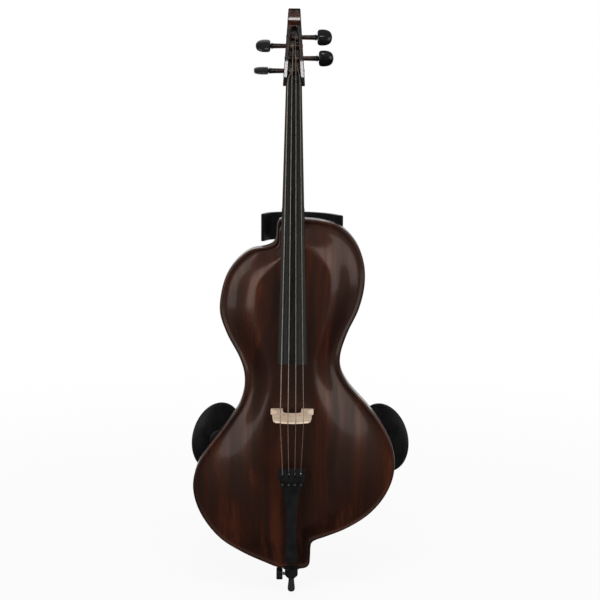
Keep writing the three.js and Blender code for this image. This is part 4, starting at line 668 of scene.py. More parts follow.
body = dict(
    bottom=54 * mm,
    length=740 * mm,
    halfWidth=209 * mm,
    ribHalf=18 * mm,
    edgeRadius=4.5 * mm,
    channel=1.4 * mm,
    bellyRise=18 * mm,
    backRise=14 * mm,
    topFall=7 * mm,
    topFallLength=50 * mm,
    wall=5 * mm,
    seam=0.15 * mm,
    perSpan=8,
    archRows=44,
    spineRows=14,
    crown=0.25 * mm,
    rim=2.2,  # the channel round the arch, in edge radii
    edgeRows=9,
    spineShare=0.98,  # how far the first ring has drawn in to the middle of the ridge
    spineEnd=6 * mm,
)
# Rows round the outline from the top of the left shoulder: an edge point, then the foot of the ridge
# facing it, x as a share of halfWidth and z as a share of length from the bottom.
body["shares"] = np.array([
    [0.0, 1.0, 0.0, 0.93], [-0.08, 1.0, -0.03, 0.93], [-0.132, 0.997, -0.045, 0.928],
    [-0.153, 0.986, -0.05, 0.925], [-0.158, 0.966, -0.055, 0.92], [-0.165, 0.947, -0.06, 0.913],
    [-0.195, 0.931, -0.075, 0.905], [-0.26, 0.922, -0.11, 0.893], [-0.411, 0.913, -0.17, 0.872],
    [-0.554, 0.881, -0.25, 0.848], [-0.65, 0.84, -0.32, 0.822], [-0.704, 0.785, -0.34, 0.77],
    [-0.71, 0.735, -0.335, 0.73], [-0.643, 0.678, -0.3, 0.678], [-0.52, 0.611, -0.22, 0.612],
    [-0.474, 0.568, -0.19, 0.568], [-0.474, 0.525, -0.195, 0.525], [-0.528, 0.474, -0.225, 0.478],
    [-0.65, 0.421, -0.25, 0.43], [-0.82, 0.357, -0.27, 0.372], [-0.935, 0.305, -0.29, 0.32],
    [-0.983, 0.25, -0.305, 0.26], [-0.962, 0.2, -0.3, 0.21], [-0.88, 0.147, -0.275, 0.165],
    [-0.714, 0.089, -0.225, 0.125], [-0.49, 0.048, -0.16, 0.1], [-0.264, 0.0185, -0.09, 0.105],
    [-0.137, 0.0045, -0.05, 0.1], [0.0, 0.0, 0.0, 0.098], [0.104, 0.0008, 0.035, 0.1],
    [0.15, 0.0045, 0.05, 0.102], [0.178, 0.0135, 0.058, 0.106], [0.187, 0.034, 0.065, 0.113],
    [0.191, 0.062, 0.075, 0.121], [0.2, 0.0755, 0.085, 0.127], [0.235, 0.084, 0.105, 0.132],
    [0.33, 0.094, 0.15, 0.138], [0.55, 0.12, 0.22, 0.15], [0.773, 0.162, 0.29, 0.17],
    [0.93, 0.216, 0.32, 0.22], [1.013, 0.278, 0.325, 0.28], [1.008, 0.345, 0.305, 0.345],
    [0.92, 0.407, 0.275, 0.4], [0.742, 0.476, 0.245, 0.462], [0.55, 0.538, 0.2, 0.535],
    [0.477, 0.58, 0.19, 0.575], [0.471, 0.62, 0.2, 0.618], [0.537, 0.681, 0.265, 0.678],
    [0.647, 0.749, 0.32, 0.745], [0.702, 0.82, 0.345, 0.805], [0.687, 0.883, 0.325, 0.86],
    [0.6, 0.94, 0.25, 0.885], [0.45, 0.98, 0.17, 0.905], [0.262, 0.995, 0.09, 0.92],
    [0.12, 0.999, 0.04, 0.928],
])


def bodyLoops(s):
    # Edge and foot as smooth closed loops with matching points.
    rows = s["shares"]
    wide = lambda x, z: asPoints(rows[:, x] * s["halfWidth"], 0, s["bottom"] + rows[:, z] * s["length"])
    return tuple(splinePoints(wide(*pair), s["perSpan"], closed=True) for pair in ((0, 1), (2, 3)))


def shellGrid(s, sign, rise, topFall):
    # Rings from the middle of the ridge out to the seam and back inside:
    # y = sign (rib - channel + (rise + channel - fall) smooth(share)), share running from the channel
    # at 0 to the ridge's foot at 1, and a quarter round of the edge's radius outside it.
    edge, foot = bodyLoops(s)
    span = np.linalg.norm(edge - foot, axis=1, keepdims=True)
    top = s["bottom"] + s["length"]
    rimInset = s["edgeRadius"] * s["rim"]

    def at(inset):
        return edge + (foot - edge) * (inset / span)

    def arch(share, wall=0.0):
        ring = at(rimInset + (span - rimInset) * share)
        fall = topFall * smoothStep((ring[:, 2] - top + s["topFallLength"]) / s["topFallLength"])
        height = s["ribHalf"] - s["channel"] + (rise + s["channel"] - fall) * smoothStep(share)
        ring[:, 1] = sign * (height - wall)
        return ring

    middle = arch(1.0)
    zs = middle[:, 2]
    low, high = zs.min() + s["spineEnd"], zs.max() - s["spineEnd"]
    spineZ = np.clip(zs, low, high)
    left = middle[middle[:, 0] <= 0]
    right = middle[middle[:, 0] >= 0]
    left, right = left[np.argsort(left[:, 2])], right[np.argsort(right[:, 2])]
    centre = (np.interp(spineZ, left[:, 2], left[:, 0]) + np.interp(spineZ, right[:, 2], right[:, 0])) / 2
    rings = []
    for share in np.linspace(s["spineShare"], 0, s["spineRows"], endpoint=False):
        ring = middle.copy()
        ring[:, 0] += (centre - ring[:, 0]) * share
        ring[:, 2] += (spineZ - ring[:, 2]) * share
        ring[:, 1] += sign * s["crown"] * smoothStep(share)
        rings.append(ring)
    for share in np.linspace(1, 0, s["archRows"]):
        rings.append(arch(share))
    r = s["edgeRadius"]
    for turn in np.linspace(0, np.pi / 2, s["edgeRows"]):
        inset = r * (1 - np.sin(turn))
        ring = at(inset)
        ring[:, 1] = sign * (s["ribHalf"] - r + r * np.cos(turn))
        rings.append(ring)
    for depth in (0.6, 0.3):
        ring = at(0.0)
        ring[:, 1] = sign * (s["ribHalf"] - r) * depth
        rings.append(ring)
    ceiling = s["ribHalf"] - r - s["wall"] / 2
    for inset, depth in ((0.0, s["seam"]), (s["wall"], s["seam"]), (s["wall"], ceiling)):
        ring = at(inset)
        ring[:, 1] = sign * depth
        rings.append(ring)
    for share in (0.0, 0.25, 0.5, 0.75, 1.0):
        rings.append(arch(share, s["wall"]))
    return np.stack(rings)


def shellMesh(s, sign, rise, topFall):
    grid = shellGrid(s, sign, rise, topFall)
    rows, columns = grid.shape[:2]
    faces = gridFaces(rows, columns)
    last = list(range((rows - 1) * columns, rows * columns))
    faces += [last[::-1], list(range(columns))]  # the inside's ceiling, and the crest's narrow top
    if sign > 0:
        faces = [face[::-1] for face in faces]
    return grid.reshape(-1, 3), faces


# Lines that the strings set, and the frames of neck, pegbox and tailpiece.

lines = sizes(
    gap=0.3, running=0.4, string=684, rise=117, bridgeZ=54 + 0.458 * 740, bridgeHeight=85,
    bridgeCrown=3, board=567, actionNut=1.6, actionEnd=7, nut=9,
    tailLength=218, tailRise=20.7, tailLift=40.8, tunerPitch=12.5, nutSpread=24, bridgeSpread=47,
)
gap, running = lines["gap"], lines["running"]
ridgeFront = -(body["ribHalf"] + body["bellyRise"])
ridgeBack = body["ribHalf"] + body["backRise"]
crownY = ridgeFront - gap - lines["bridgeHeight"]
crownZ = lines["bridgeZ"] + lines["bridgeCrown"] / 2
nutY = crownY + lines["rise"]
nutZ = crownZ + math.sqrt(lines["string"] ** 2 - lines["rise"] ** 2)
neckLean = math.atan2(lines["rise"], nutZ - crownZ)
neckLean -= math.atan2(lines["actionEnd"] - lines["actionNut"], lines["board"])
neckFrame = Matrix.Translation((0, nutY, nutZ)) @ Matrix.Rotation(-neckLean, 4, "X")
pegLean = Matrix.Rotation(-math.radians(8), 4, "X")  # the pegbox against the neck
pegFrame = neckFrame @ pegLean
tailLean = math.radians(12.5)
tailPlace = (
    0,
    -lines["tailLift"] - lines["tailLength"] * math.sin(tailLean),
    body["bottom"] + lines["tailRise"] + lines["tailLength"] * math.cos(tailLean),
)
tailFrame = Matrix.Translation(tailPlace) @ Matrix.Rotation(tailLean, 4, "X")
stringNames = ["c", "g", "d", "a"]
stringShare = dict(zip(stringNames, np.linspace(-0.5, 0.5, 4)))


def inFrame(matrix, points):
    matrix = np.array(matrix)
    return np.atleast_2d(points) @ matrix[:3, :3].T + matrix[:3, 3]


# Fingerboard and nut.

board = sizes(nutWidth=32, endWidth=60, side=9, arch=72, scoop=40, scoopDepth=5, overhang=4.5, relief=0.35)
board |= sizes(scoopStart=12, corner=1)
board |= dict(columns=33, rows=60)
boardSag = board["arch"] - math.sqrt(board["arch"] ** 2 - (board["nutWidth"] / 2) ** 2)
neckFront = lines["actionNut"] + boardSag + board["side"] + gap
heel = sizes(width=46, length=88, depth=46, round=24)
heelTop = -(nutZ - body["bottom"] - body["length"]) / math.cos(neckLean)


def boardWidth(z):
    return board["nutWidth"] + (board["endWidth"] - board["nutWidth"]) * -z / lines["board"]


def boardPart(s):
    # Sections down the neck: a circular arch above, thin sides, and below a flat that becomes the
    # scoop beyond the heel.
    across = np.linspace(-1, 1, s["columns"])
    under = neckFront - gap
    rings = []
    for z in np.linspace(0, -lines["board"], s["rows"]):
        half = boardWidth(z) / 2
        x = across * half
        top = lines["actionNut"] + s["arch"] - np.sqrt(s["arch"] ** 2 - x**2)
        past = smoothStep((heelTop - heel["length"] - z) / s["scoopStart"])
        hollow = under - s["scoopDepth"] + s["scoop"] - np.sqrt(s["scoop"] ** 2 - x**2)
        below = under + past * (np.minimum(hollow, under) - under)
        corners = np.concatenate([asPoints(x, top), asPoints(x[::-1], below[::-1])])
        mid = corners[:1] * 0.5 + corners[-1:] * 0.5
        ring = rounded(np.concatenate([mid, corners, mid]), s["corner"], 3)[:-1]
        rings.append(asPoints(ring[:, 0], ring[:, 1], z))
    rings = np.stack(rings)
    rings[-1, :, :2] += (rings[-1, :, :2].mean(axis=0) - rings[-1, :, :2]) * 0.02
    return placed(skin(rings), neckFrame)


def nutPart(s):
    # Side view of the nut, rounded over on the pegbox side, and four shallow string notches.
    half = s["nutWidth"] / 2 + s["overhang"]
    low, back, tall = lines["actionNut"] - s["relief"], neckFront - gap, lines["nut"]
    side = rounded(
        [(back, tall / 2), (back, tall), (low + tall * 0.75, tall), (low + tall * 0.2, tall * 0.94),
         (low, tall * 0.7), (low, 0), (back, 0), (back, tall / 2)],
        1.1 * mm, 5,
    )[:-1]
    block = moved(sideways(slab(side, -half, half, 1.2 * mm)), 0, 0, gap)
    notches = []
    for name in stringNames:
        x = stringShare[name] * lines["nutSpread"]
        notch = rodPart(1.15 * mm, -5 * mm, tall + 5 * mm, 16)
        notches.append(moved(notch, x, low - 0.35 * mm, 0))
    return placed(carved(block, notches), neckFrame)


replace("fingerboard", boardPart(board), 40)
replace("nut", nutPart(board), 40)


# Neck, heel, pegbox and head.

neck = sizes(depthNut=17, depthHeel=21, lift=0.6, nutWidth=43, topWidth=24, depth=38, headDepth=27)
neck |= sizes(length=142, cheek=6.5, slot=106, slotFloor=7, bevel=1.6, heelBevel=4)
pegs = sizes(depth=17, small=3.9, projection=31.5, collar=6.3, collarWidth=3.2, neck=4)
pegs |= sizes(headLength=30, headWidth=33, headThick=15, proud=1.5, c=27, a=53, g=78.5, d=96.5)
pegSide = dict(c=-1, a=1, g=-1, d=1)
pegTurn = dict(c=58, a=28, g=26, d=6)
neck["front"] = [
    (0.0, 0.0), (0.0, 0.75), (-0.04, 0.768), (-0.17, 0.788), (-0.226, 0.799), (-0.234, 0.806),
    (-0.2364, 0.8178), (-0.2389, 0.8295), (-0.2413, 0.8413), (-0.2438, 0.853), (-0.238, 0.86),
    (-0.19, 0.875), (-0.08, 0.902), (0.0, 0.94), (0.0, 0.97),
    (-0.05, 0.985), (-0.02, 1.0),
]
neck["back"] = [
    (0.3, 0.985), (0.52, 0.93), (0.64, 0.84), (0.72, 0.68), (0.86, 0.35), (1.0, 0.06),
    (0.97, -0.03), (0.72, -0.075), (0.45, -0.1),
]


def pegboxWidth(z):
    return neck["nutWidth"] + (neck["topWidth"] - neck["nutWidth"]) * z / neck["length"]


def pegboxPart(s):
    # Its side view as a slab whose width narrows upwards.
    curl = splinePoints(np.array(s["front"][1:]), 5)
    back = splinePoints(np.array(s["back"]), 5)
    line = np.concatenate([[s["front"][0]], curl, back])
    line = line * [s["depth"], s["length"]]
    line = rounded(np.concatenate([line, line[:1]]), 0.6 * mm, 1)[:-1]
    points, faces = slab(line[::-1], -1, 1, s["bevel"], 4)
    side = np.sign(points[:, 2])
    inward = 1 - np.abs(points[:, 2])
    width = side * (pegboxWidth(points[:, 1]) / 2 - inward)
    return asPoints(width, points[:, 0], points[:, 1] + lines["nut"] + s["lift"]), faces


def slotPart(s):
    # The open slot between the cheeks, with a round upper end and a floor that follows the back.
    low, high = lines["nut"], lines["nut"] + s["slot"]
    half = lambda z: pegboxWidth(z) / 2 - s["cheek"]
    end = half(high)
    angle = np.linspace(0, np.pi, 13)
    rise = high - end
    right = np.linspace(low, rise, 10)[:-1]
    x = np.concatenate([half(right), half(rise) * np.cos(angle), -half(right[::-1])])
    z = np.concatenate([right, rise + end * np.sin(angle), right[::-1]])
    floor = s["depth"] + (s["headDepth"] - s["depth"]) * z / s["length"] - s["slotFloor"]
    rings = [asPoints(x, -15 * mm, z), asPoints(x, floor - 1.5 * mm, z), asPoints(x * 0.93, floor, z)]
    return skin(np.stack(rings))


def pegRadius(name, x):
    far = -pegboxWidth(pegs[name]) / 2 - pegs["proud"]
    return pegs["small"] + 0.022 * (x - far)


def neckPart(s):
    stations = [(lines["nut"] + gap * 2, s["depthNut"]), (heelTop / 3, s["depthNut"])]
    stations += [(heelTop * 2 / 3, s["depthHeel"]), (heelTop - heel["length"] / 2, s["depthHeel"])]
    heights, depths = np.array(stations).T
    angle = np.linspace(0, np.pi, 33)
    rings = []
    for z in np.linspace(heights[0], heights[-1], 40):
        depth = np.interp(-z, -heights, depths)
        half = boardWidth(z) / 2 - 0.4 * mm
        rings.append(asPoints(half * np.cos(angle), neckFront + depth * np.sin(angle) ** 0.8, z))
    shaft = skin(np.stack(rings))
    top, back = heelTop + heel["round"], neckFront + heel["depth"]
    low = heelTop - heel["length"]
    side = [(neckFront, heelTop), (neckFront, low), (back, low), (back, top), (neckFront, top)]
    side = rounded(side + side[:1], heel["round"], 10)[:-1]
    side[:, 0] = np.maximum(side[:, 0], neckFront)
    block = slab(side[::-1], -heel["width"] / 2, heel["width"] / 2, s["heelBevel"], 6)
    block = sideways(block)
    box = placed(pegboxPart(s), pegLean)
    cuts = [placed(slotPart(s), pegLean)]
    for name in stringNames:
        reach = pegboxWidth(pegs[name]) / 2 + 10 * mm
        low, high = pegRadius(name, -reach), pegRadius(name, reach)
        hole = revolve([(0, -reach), (low + running, -reach), (high + running, reach), (0, reach)], 32)
        hole = turnTo(hole, (pegSide[name], 0, 0), (0, pegs["depth"], pegs[name]))
        cuts.append(placed(hole, pegLean))
    width, roomHigh = s["nutWidth"] * 2, lines["nut"] + s["lift"]
    room = slab(roundedBox(width, neckFront * 4, 1 * mm, 1), -s["depth"], roomHigh, 0.1 * mm, 1)
    cuts.append(moved(room, 0, -neckFront, 0))
    return placed(carved(shaft, cuts, [block, box]), neckFrame)


def pegPart(name, s):
    # A tapered shaft with two collar rings, and a flat head that is widest by its collar:
    # half width w(t) with t running outwards, and the thickness goes with the root of w.
    half = pegboxWidth(s[name]) / 2
    far, start = -half - s["proud"], half + s["projection"]
    collar = start - s["collarWidth"] * 1.6
    ring = s["collarWidth"]
    profile = [
        (0, far), (pegRadius(name, far) - 0.5 * mm, far), (pegRadius(name, far), far + 0.5 * mm),
        (pegRadius(name, collar), collar),
        (s["collar"], collar + ring * 0.25), (s["collar"], collar + ring * 0.6),
        (s["collar"] * 0.8, collar + ring * 0.7), (s["collar"] * 0.8, collar + ring * 0.8),
        (s["collar"], collar + ring * 0.9), (s["collar"] * 0.96, collar + ring * 1.2),
        (s["neck"], collar + ring * 1.45),
        (s["neck"], start + s["headLength"] / 5), (0, start + s["headLength"] / 5),
    ]
    shaft = turnTo(revolve(rounded(profile, 0.4 * mm, 2), 40), alongX)
    shares = [(0, 0.35), (0.03, 0.82), (0.12, 0.96), (0.3, 1), (0.52, 0.98)]
    shares += [(0.72, 0.88), (0.87, 0.7), (0.96, 0.44), (1, 0.14)]
    line = splinePoints(np.array(shares), 4)
    angle = np.arange(40) / 40 * 2 * np.pi
    out, wide = line[:, :1], line[:, 1:]
    z = np.cos(angle) * wide * s["headWidth"] / 2
    y = np.sin(angle) * np.sqrt(wide) * s["headThick"] / 2
    edge = 1 - 0.35 * np.abs(np.cos(angle)) ** 2
    head = skin(asPoints(start + out * s["headLength"], y * edge, z))
    turn = Matrix.Rotation(math.radians(pegTurn[name]), 4, "X")
    if pegSide[name] < 0:
        turn = Matrix.Rotation(math.pi, 4, "Z") @ turn
    whole = placed(joined(shaft, head), turn)
    return placed(moved(whole, 0, s["depth"], s[name]), pegFrame)


replace("neck", neckPart(neck), 40)
for name in stringNames:
    replace("peg_" + name, pegPart(name, pegs), 50, pegWood)
print("neck and pegs made")


# Strings and bridge.

strings = sizes(c=1.9, g=1.6, d=1.3, a=1.1, windingGap=0.5, seat=3.5, axle=14, fork=2.4, notch=0.8)
bridge = sizes(foot=88, thick=11.5, crownRadius=62, heart=3.2, kidneyLong=11, kidneyTall=5, bevel=0.9)


def bridgeTop(x):
    return crownY + bridge["crownRadius"] - np.sqrt(bridge["crownRadius"] ** 2 - x**2)


def stringPart(name, s):
    # From its ball in the tailpiece over bridge and nut to its turns round the peg: on the peg the
    # path is a helix, and it leaves the nut along the tangent of the first turn.
    radius = s[name] / 2
    x = stringShare[name] * 3 * lines["tunerPitch"]
    seat = s["seat"]
    start = inFrame(tailFrame, (x, seat, -s["axle"] + s["fork"] / 2 + gap))
    mouth = inFrame(tailFrame, (x, seat, -s["fork"]))
    bridgeX = stringShare[name] * lines["bridgeSpread"]
    over = np.array([[bridgeX, bridgeTop(bridgeX) + s["notch"] - radius - gap * 2, crownZ]])
    nutRest = lines["nut"] * 0.75
    nut = inFrame(neckFrame, (stringShare[name] * lines["nutSpread"], 0, nutRest))
    pitch = radius * 2 + s["windingGap"]
    side, station = pegSide[name], pegs[name]
    turnX = side * pitch
    winding = pegRadius(name, abs(turnX + side * pitch * 3)) + gap + radius
    climb = station - nutRest
    first = math.acos(winding / math.hypot(pegs["depth"], climb)) - math.atan2(climb, pegs["depth"])
    turns = np.arange(3 * 40 + 1) / 40
    angle = first + turns * 2 * np.pi
    coil = asPoints(
        turnX + side * pitch * turns,
        pegs["depth"] - winding * np.cos(angle),
        station + winding * np.sin(angle),
    )
    corners = np.concatenate([start, mouth, over, nut, inFrame(pegFrame, coil[:1])])
    free = rounded(corners, 7 * mm, 6)[:-1]
    path = np.concatenate([free, inFrame(pegFrame, coil)])
    return tube(path, radius, 10)


def bridgePart(s):
    # Its outline in X and height, thinning from foot to crown, with a heart and two kidneys cut
    # through it and a notch for each string.
    shares = [
        (0.0, 0.335), (0.2, 0.33), (0.35, 0.315), (0.41, 0.26), (0.43, 0.12), (0.43, 0.0), (1.0, 0.0),
        (1.0, 0.075), (0.86, 0.13), (0.74, 0.2), (0.69, 0.3), (0.7, 0.36), (0.82, 0.38), (0.9, 0.44),
        (0.9, 0.56), (0.86, 0.6), (0.87, 0.68), (0.86, 0.78), (0.79, 0.87), (0.72, 0.93),
    ]
    half, tall = s["foot"] / 2, lines["bridgeHeight"]
    right = np.array(shares) * [half, tall]
    crownX = np.linspace(right[-1, 0] * 0.92, -right[-1, 0] * 0.92, 25)
    crown = asPoints(crownX, tall - (bridgeTop(crownX) - crownY))
    corners = np.concatenate([right, crown, (right * [-1, 1])[1:][::-1]])
    line = rounded(np.concatenate([corners, corners[:1]]), 2.6 * mm, 3)[:-1]
    plate = slab(line, 0, 1 * mm, s["bevel"] * 0.1, 3)
    share = plate[0][:, 2] / (1 * mm)
    thick = s["thick"] + (lines["bridgeCrown"] - s["thick"]) * plate[0][:, 1] / tall
    points = asPoints(plate[0][:, 0], ridgeFront - gap - plate[0][:, 1], lines["bridgeZ"] + share * thick)
    cuts = []
    angle = np.arange(40) / 40 * 2 * np.pi
    heart = asPoints(
        s["heart"] * 1.25 * np.sin(angle) ** 3,
        s["heart"] * (0.95 * np.cos(angle) - 0.36 * np.cos(2 * angle) - 0.14 * np.cos(3 * angle)),
    )[::-1]
    cuts.append((heart, 0.0, 0.57, 0.0))
    for side in (-1, 1):
        bean = asPoints(s["kidneyLong"] / 2 * np.cos(angle), s["kidneyTall"] / 2 * np.sin(angle))
        bean[:, 1] += 0.14 * s["kidneyLong"] * (np.cos(angle) ** 2 - 0.5)
        cuts.append((bean, side * half * 0.42, 0.47, -side * 0.5))
    tools = []
    for shape, x, height, turn in cuts:
        cosine, sine = math.cos(turn), math.sin(turn)
        shape = shape @ np.array([[cosine, sine], [-sine, cosine]])
        tool = slab(shape, -5 * mm, s["thick"] + 5 * mm, 0.05 * mm, 1)
        where = np.array([x, ridgeFront - gap - height * tall, lines["bridgeZ"]])
        tools.append((asPoints(tool[0][:, 0], -tool[0][:, 1], tool[0][:, 2]) + where, tool[1]))
    for name in stringNames:
        x = stringShare[name] * lines["bridgeSpread"]
        radius = strings[name] / 2
        notch = rodPart(radius + gap, -5 * mm, 10 * mm, 24)
        y = bridgeTop(x) + strings["notch"] - radius - gap
        tools.append(moved(notch, x, y, lines["bridgeZ"]))
    return carved((points, plate[1]), tools)


for name in stringNames:
    replace("string_" + name, stringPart(name, strings), 0, stringSteel)
replace("bridge", bridgePart(bridge), 40)
print("strings and bridge made")


# Tailpiece, fine tuners, saddle and tail cord.

tail = sizes(thick=13, crown=90, slotWidth=3.2, slotLength=19, screw=30, axleDepth=9.5, axleRadius=1.5)
tail |= sizes(wellDepth=6.5, wellStart=6, wellEnd=40, lever=6, margin=2.5, cheek=5, leverThick=2.6)
tail |= sizes(hub=3, leverTail=19, fork=2.4, ball=1.5, stem=2, knob=4.6, knobHeight=4.6, travel=3, tip=0.6)
tail |= sizes(cord=3.6, cordIn=14, cordDepth=6.8, cordSpread=11, bevel=1.1)
tail["wellWidth"] = lines["tunerPitch"] * 3 + tail["lever"] + tail["margin"]
tail["topWidth"] = tail["wellWidth"] + tail["cheek"] * 2
tail["shares"] = [
    (0.42, 0.0), (0.5, 0.02), (0.5, 0.055), (0.44, 0.14), (0.33, 0.22), (0.25, 0.33),
    (0.21, 0.45), (0.195, 0.62), (0.2, 0.78), (0.235, 0.92), (0.23, 0.975), (0.17, 1.0),
]


def boxPart(width, depth, height, radius=0.3 * mm):
    return slab(roundedBox(width, depth, radius, 2), -height / 2, height / 2, radius * 0.9, 2)


def tailpiecePart(s):
    # Cross-sections along its length: a front that follows a circular arch, a flat back and round corners,
    # eased in at both ends. It is hollowed behind, with a slot for each string and a hole for each screw.
    wide, along = (splinePoints(np.array(s["shares"]), 8) * [s["topWidth"], lines["tailLength"]]).T
    along = np.clip(along, 0, lines["tailLength"])
    bevel, thick = s["bevel"], s["thick"]
    near = np.minimum(np.minimum(along, lines["tailLength"] - along), bevel)
    ease = (bevel - np.sqrt(bevel**2 - (bevel - near) ** 2))[:, None]
    turn = np.linspace(0, np.pi / 2, 5)
    columns = np.linspace(-1, 1, 25)
    sine, cosine = np.sin(turn), np.cos(turn)
    across = np.concatenate([columns, np.ones(10), -np.ones(10)])
    bulge = np.concatenate([columns * 0, sine, cosine, -sine, -cosine]) * bevel
    depth = [columns * 0, bevel * (1 - cosine), thick - bevel * (1 - sine)]
    depth += [thick - bevel * (1 - cosine), bevel * (1 - sine)]
    x = across * (wide[:, None] - ease - bevel) + bulge
    y = ease + np.concatenate(depth) * (1 - 2 * ease / thick)
    y = y + (s["crown"] - np.sqrt(s["crown"] ** 2 - x**2)) * (1 - y / thick)
    plate = skin(asPoints(x, y, -along[:, None] + 0 * x))
    wellTall = s["wellEnd"] - s["wellStart"]
    wellDeep = s["thick"] - s["wellDepth"] + overshoot
    well = boxPart(s["wellWidth"], wellDeep, wellTall)
    cuts = [moved(well, 0, s["wellDepth"] + wellDeep / 2, -s["wellStart"] - wellTall / 2)]
    hollowLow = lines["tailLength"] - s["cordSpread"] * 2
    hollow = boxPart(s["topWidth"] * 0.34, s["thick"], hollowLow - s["wellEnd"] - 8 * mm, 2 * mm)
    cuts.append(moved(hollow, 0, s["thick"] * 1.25 - 1 * mm, -(s["wellEnd"] + hollowLow) / 2))
    for name in stringNames:
        x = stringShare[name] * 3 * lines["tunerPitch"]
        tall = s["slotLength"] + overshoot
        slot = roundedBox(s["slotWidth"], tall, s["slotWidth"] * 0.49, 6)
        slot = slab(slot, -20 * mm, 20 * mm, 0.05 * mm, 1)
        cuts.append(backwards(slot, x, (overshoot - s["slotLength"]) / 2))
        hole = turnTo(rodPart(s["stem"] + running, -overshoot, s["thick"], 24), alongY)
        cuts.append(moved(hole, x, 0, -s["screw"]))
    half = (s["wellWidth"] + 1.8 * mm) / 2 + gap
    bore = turnTo(rodPart(s["axleRadius"] + gap, -half, half, 20), alongX)
    cuts.append(moved(bore, 0, s["axleDepth"], -strings["axle"]))
    for side in (-1, 1):
        low = -lines["tailLength"] - overshoot
        bore = rodPart(s["cord"] / 2 + standOff, low, low + s["cordIn"] + 4.3 * mm, 20)
        cuts.append(moved(bore, side * s["cordSpread"] / 2, s["cordDepth"], 0))
    return placed(carved(plate, cuts), tailFrame)


def knobFinish(s):
    # Black, and bright steel on the tip that passes the knob's face along its axis.
    f = Finish("tunerKnob", specular=0.3, rough=0.3)
    out = -tailFrame.col[1].to_3d()
    where = f.node("TexCoord", output="Object")
    along = f.node("VectorMath", dict(operation="DOT_PRODUCT"), {0: where, 1: tuple(out)}, output=1)
    face = out.dot(Vector(tailPlace)) + s["travel"] + standOff + s["knobHeight"]
    steel = f.mapRange(along, face + s["tip"] * 0.1, face + s["tip"] * 0.3)
    f.set(colour=f.mix(steel, (0.007, 0.007, 0.0075), (0.62, 0.61, 0.6)), metal=steel)
    return f.material


def tunerParts(name, s):
    # Lever on the axle, a domed screw and its knurled knob, all in the tailpiece's frame.
    x = stringShare[name] * 3 * lines["tunerPitch"]
    hub = turnTo(rodPart(s["hub"], -s["lever"] / 2, s["lever"] / 2, 32, 0.4 * mm), alongX)
    arm = boxPart(s["lever"], s["leverThick"], s["leverTail"])
    arm = moved(arm, 0, s["leverThick"] / 2, -s["leverTail"] / 2)
    forkTop = s["axleDepth"] - strings["seat"] + s["ball"]
    fork = moved(boxPart(s["slotWidth"] - 1.2 * mm, forkTop, s["fork"]), 0, -forkTop / 2, 0)
    angle = np.linspace(0, np.pi, 13)
    r = s["ball"] - gap
    ball = revolve(asPoints(r * np.sin(angle), -r * np.cos(angle)), 20)
    ball = moved(ball, 0, strings["seat"] - s["axleDepth"], -s["fork"] / 2)
    bore = turnTo(rodPart(s["axleRadius"] + running, -s["lever"], s["lever"], 24), alongX)
    lever = moved(carved(hub, [bore], [arm, fork, ball]), x, s["axleDepth"], -strings["axle"])
    knobLow = -s["travel"] - standOff
    stemEnd = s["axleDepth"] - gap
    stemStart = knobLow + gap
    profile = [(0, stemStart), (s["stem"], stemStart), (s["stem"], stemEnd), (0, stemEnd)]
    screw = turnTo(revolve(rounded(profile, 1.6 * mm, 6), 24), alongY)
    screw = moved(screw, x, 0, -s["screw"])
    knob = slab(lobed(s["knob"], 0.04, 18, 144), 0, s["knobHeight"], s["knob"] * 0.14, 4, lobes=True)
    tip = rodPart(s["stem"], s["knobHeight"] - 1 * mm, s["knobHeight"] + s["tip"], 32, s["tip"] * 0.6)
    knob = moved(turnTo(carved(knob, [], [tip]), (0, -1, 0)), x, knobLow, -s["screw"])
    return lever, screw, knob


replace("tailpiece", tailpiecePart(tail), 40)
tunerKnob = knobFinish(tail)
for name in stringNames:
    for kind, part in zip(("lever", "screw", "knob"), tunerParts(name, tail)):
        own = tunerKnob if kind == "knob" else None
        replace(f"tuner_{kind}_{name}", placed(part, tailFrame), 40, own)

saddle = sizes(width=34, height=7, depth=9)
collar = sizes(radius=13.6, length=25, chamfer=5, groove=0.8, mouth=7.2, plug=8.6, plugLength=48)
collar |= sizes(rod=5, rodLength=385, tip=28, tipTop=6, tipRadius=7.6, tipFoot=4.5, socket=18)
collar |= sizes(station=15, stem=3.5, travel=3, knob=13.5, knobWidth=13, knobOff=1.8)


def saddlePart(s, grown=0.0):
    front = -body["ribHalf"] - s["height"] + body["wall"] - grown
    back, low = front + s["depth"] + grown * 2, body["bottom"] - grown
    high, r = body["bottom"] + s["height"] + grown, s["height"] / 2
    middle = (back, (low + high) / 2)
    side = [middle, (back, high), (front, high), (front, low), (back, low), middle]
    side = rounded(side, r, 8)[:-1]
    side[:, 0] = np.where(side[:, 0] > back - r, np.minimum(side[:, 0], back), side[:, 0])
    block = slab(side, -s["width"] / 2 - grown, s["width"] / 2 + grown, 0.8 * mm, 3)
    return sideways(block)


def cordPart(s):
    radius = s["cord"] / 2
    inside = inFrame(tailFrame, (s["cordSpread"] / 2, s["cordDepth"], -lines["tailLength"] + s["cordIn"]))[0]
    mouth = inFrame(tailFrame, (s["cordSpread"] / 2, s["cordDepth"], -lines["tailLength"] - radius))[0]
    saddleY = -body["ribHalf"] - saddle["height"] + body["wall"] - radius - standOff
    loopRadius = collar["radius"] - collar["groove"] + radius + gap
    z = body["bottom"] - radius - standOff
    right = np.array([inside, mouth, (s["cordSpread"] / 2, saddleY, body["bottom"] + saddle["height"] / 2),
                      (s["cordSpread"] / 2, saddleY + radius / 2, body["bottom"] - radius / 2)])
    angle = np.linspace(-0.95, np.pi + 0.95, 13)
    loop = asPoints(loopRadius * np.cos(angle), loopRadius * np.sin(angle), z)
    left = (right * [-1, 1, 1])[::-1]
    route = splinePoints(np.concatenate([right, loop, left]), 8)
    return tube(evenPoints(route, 150), radius, 16)


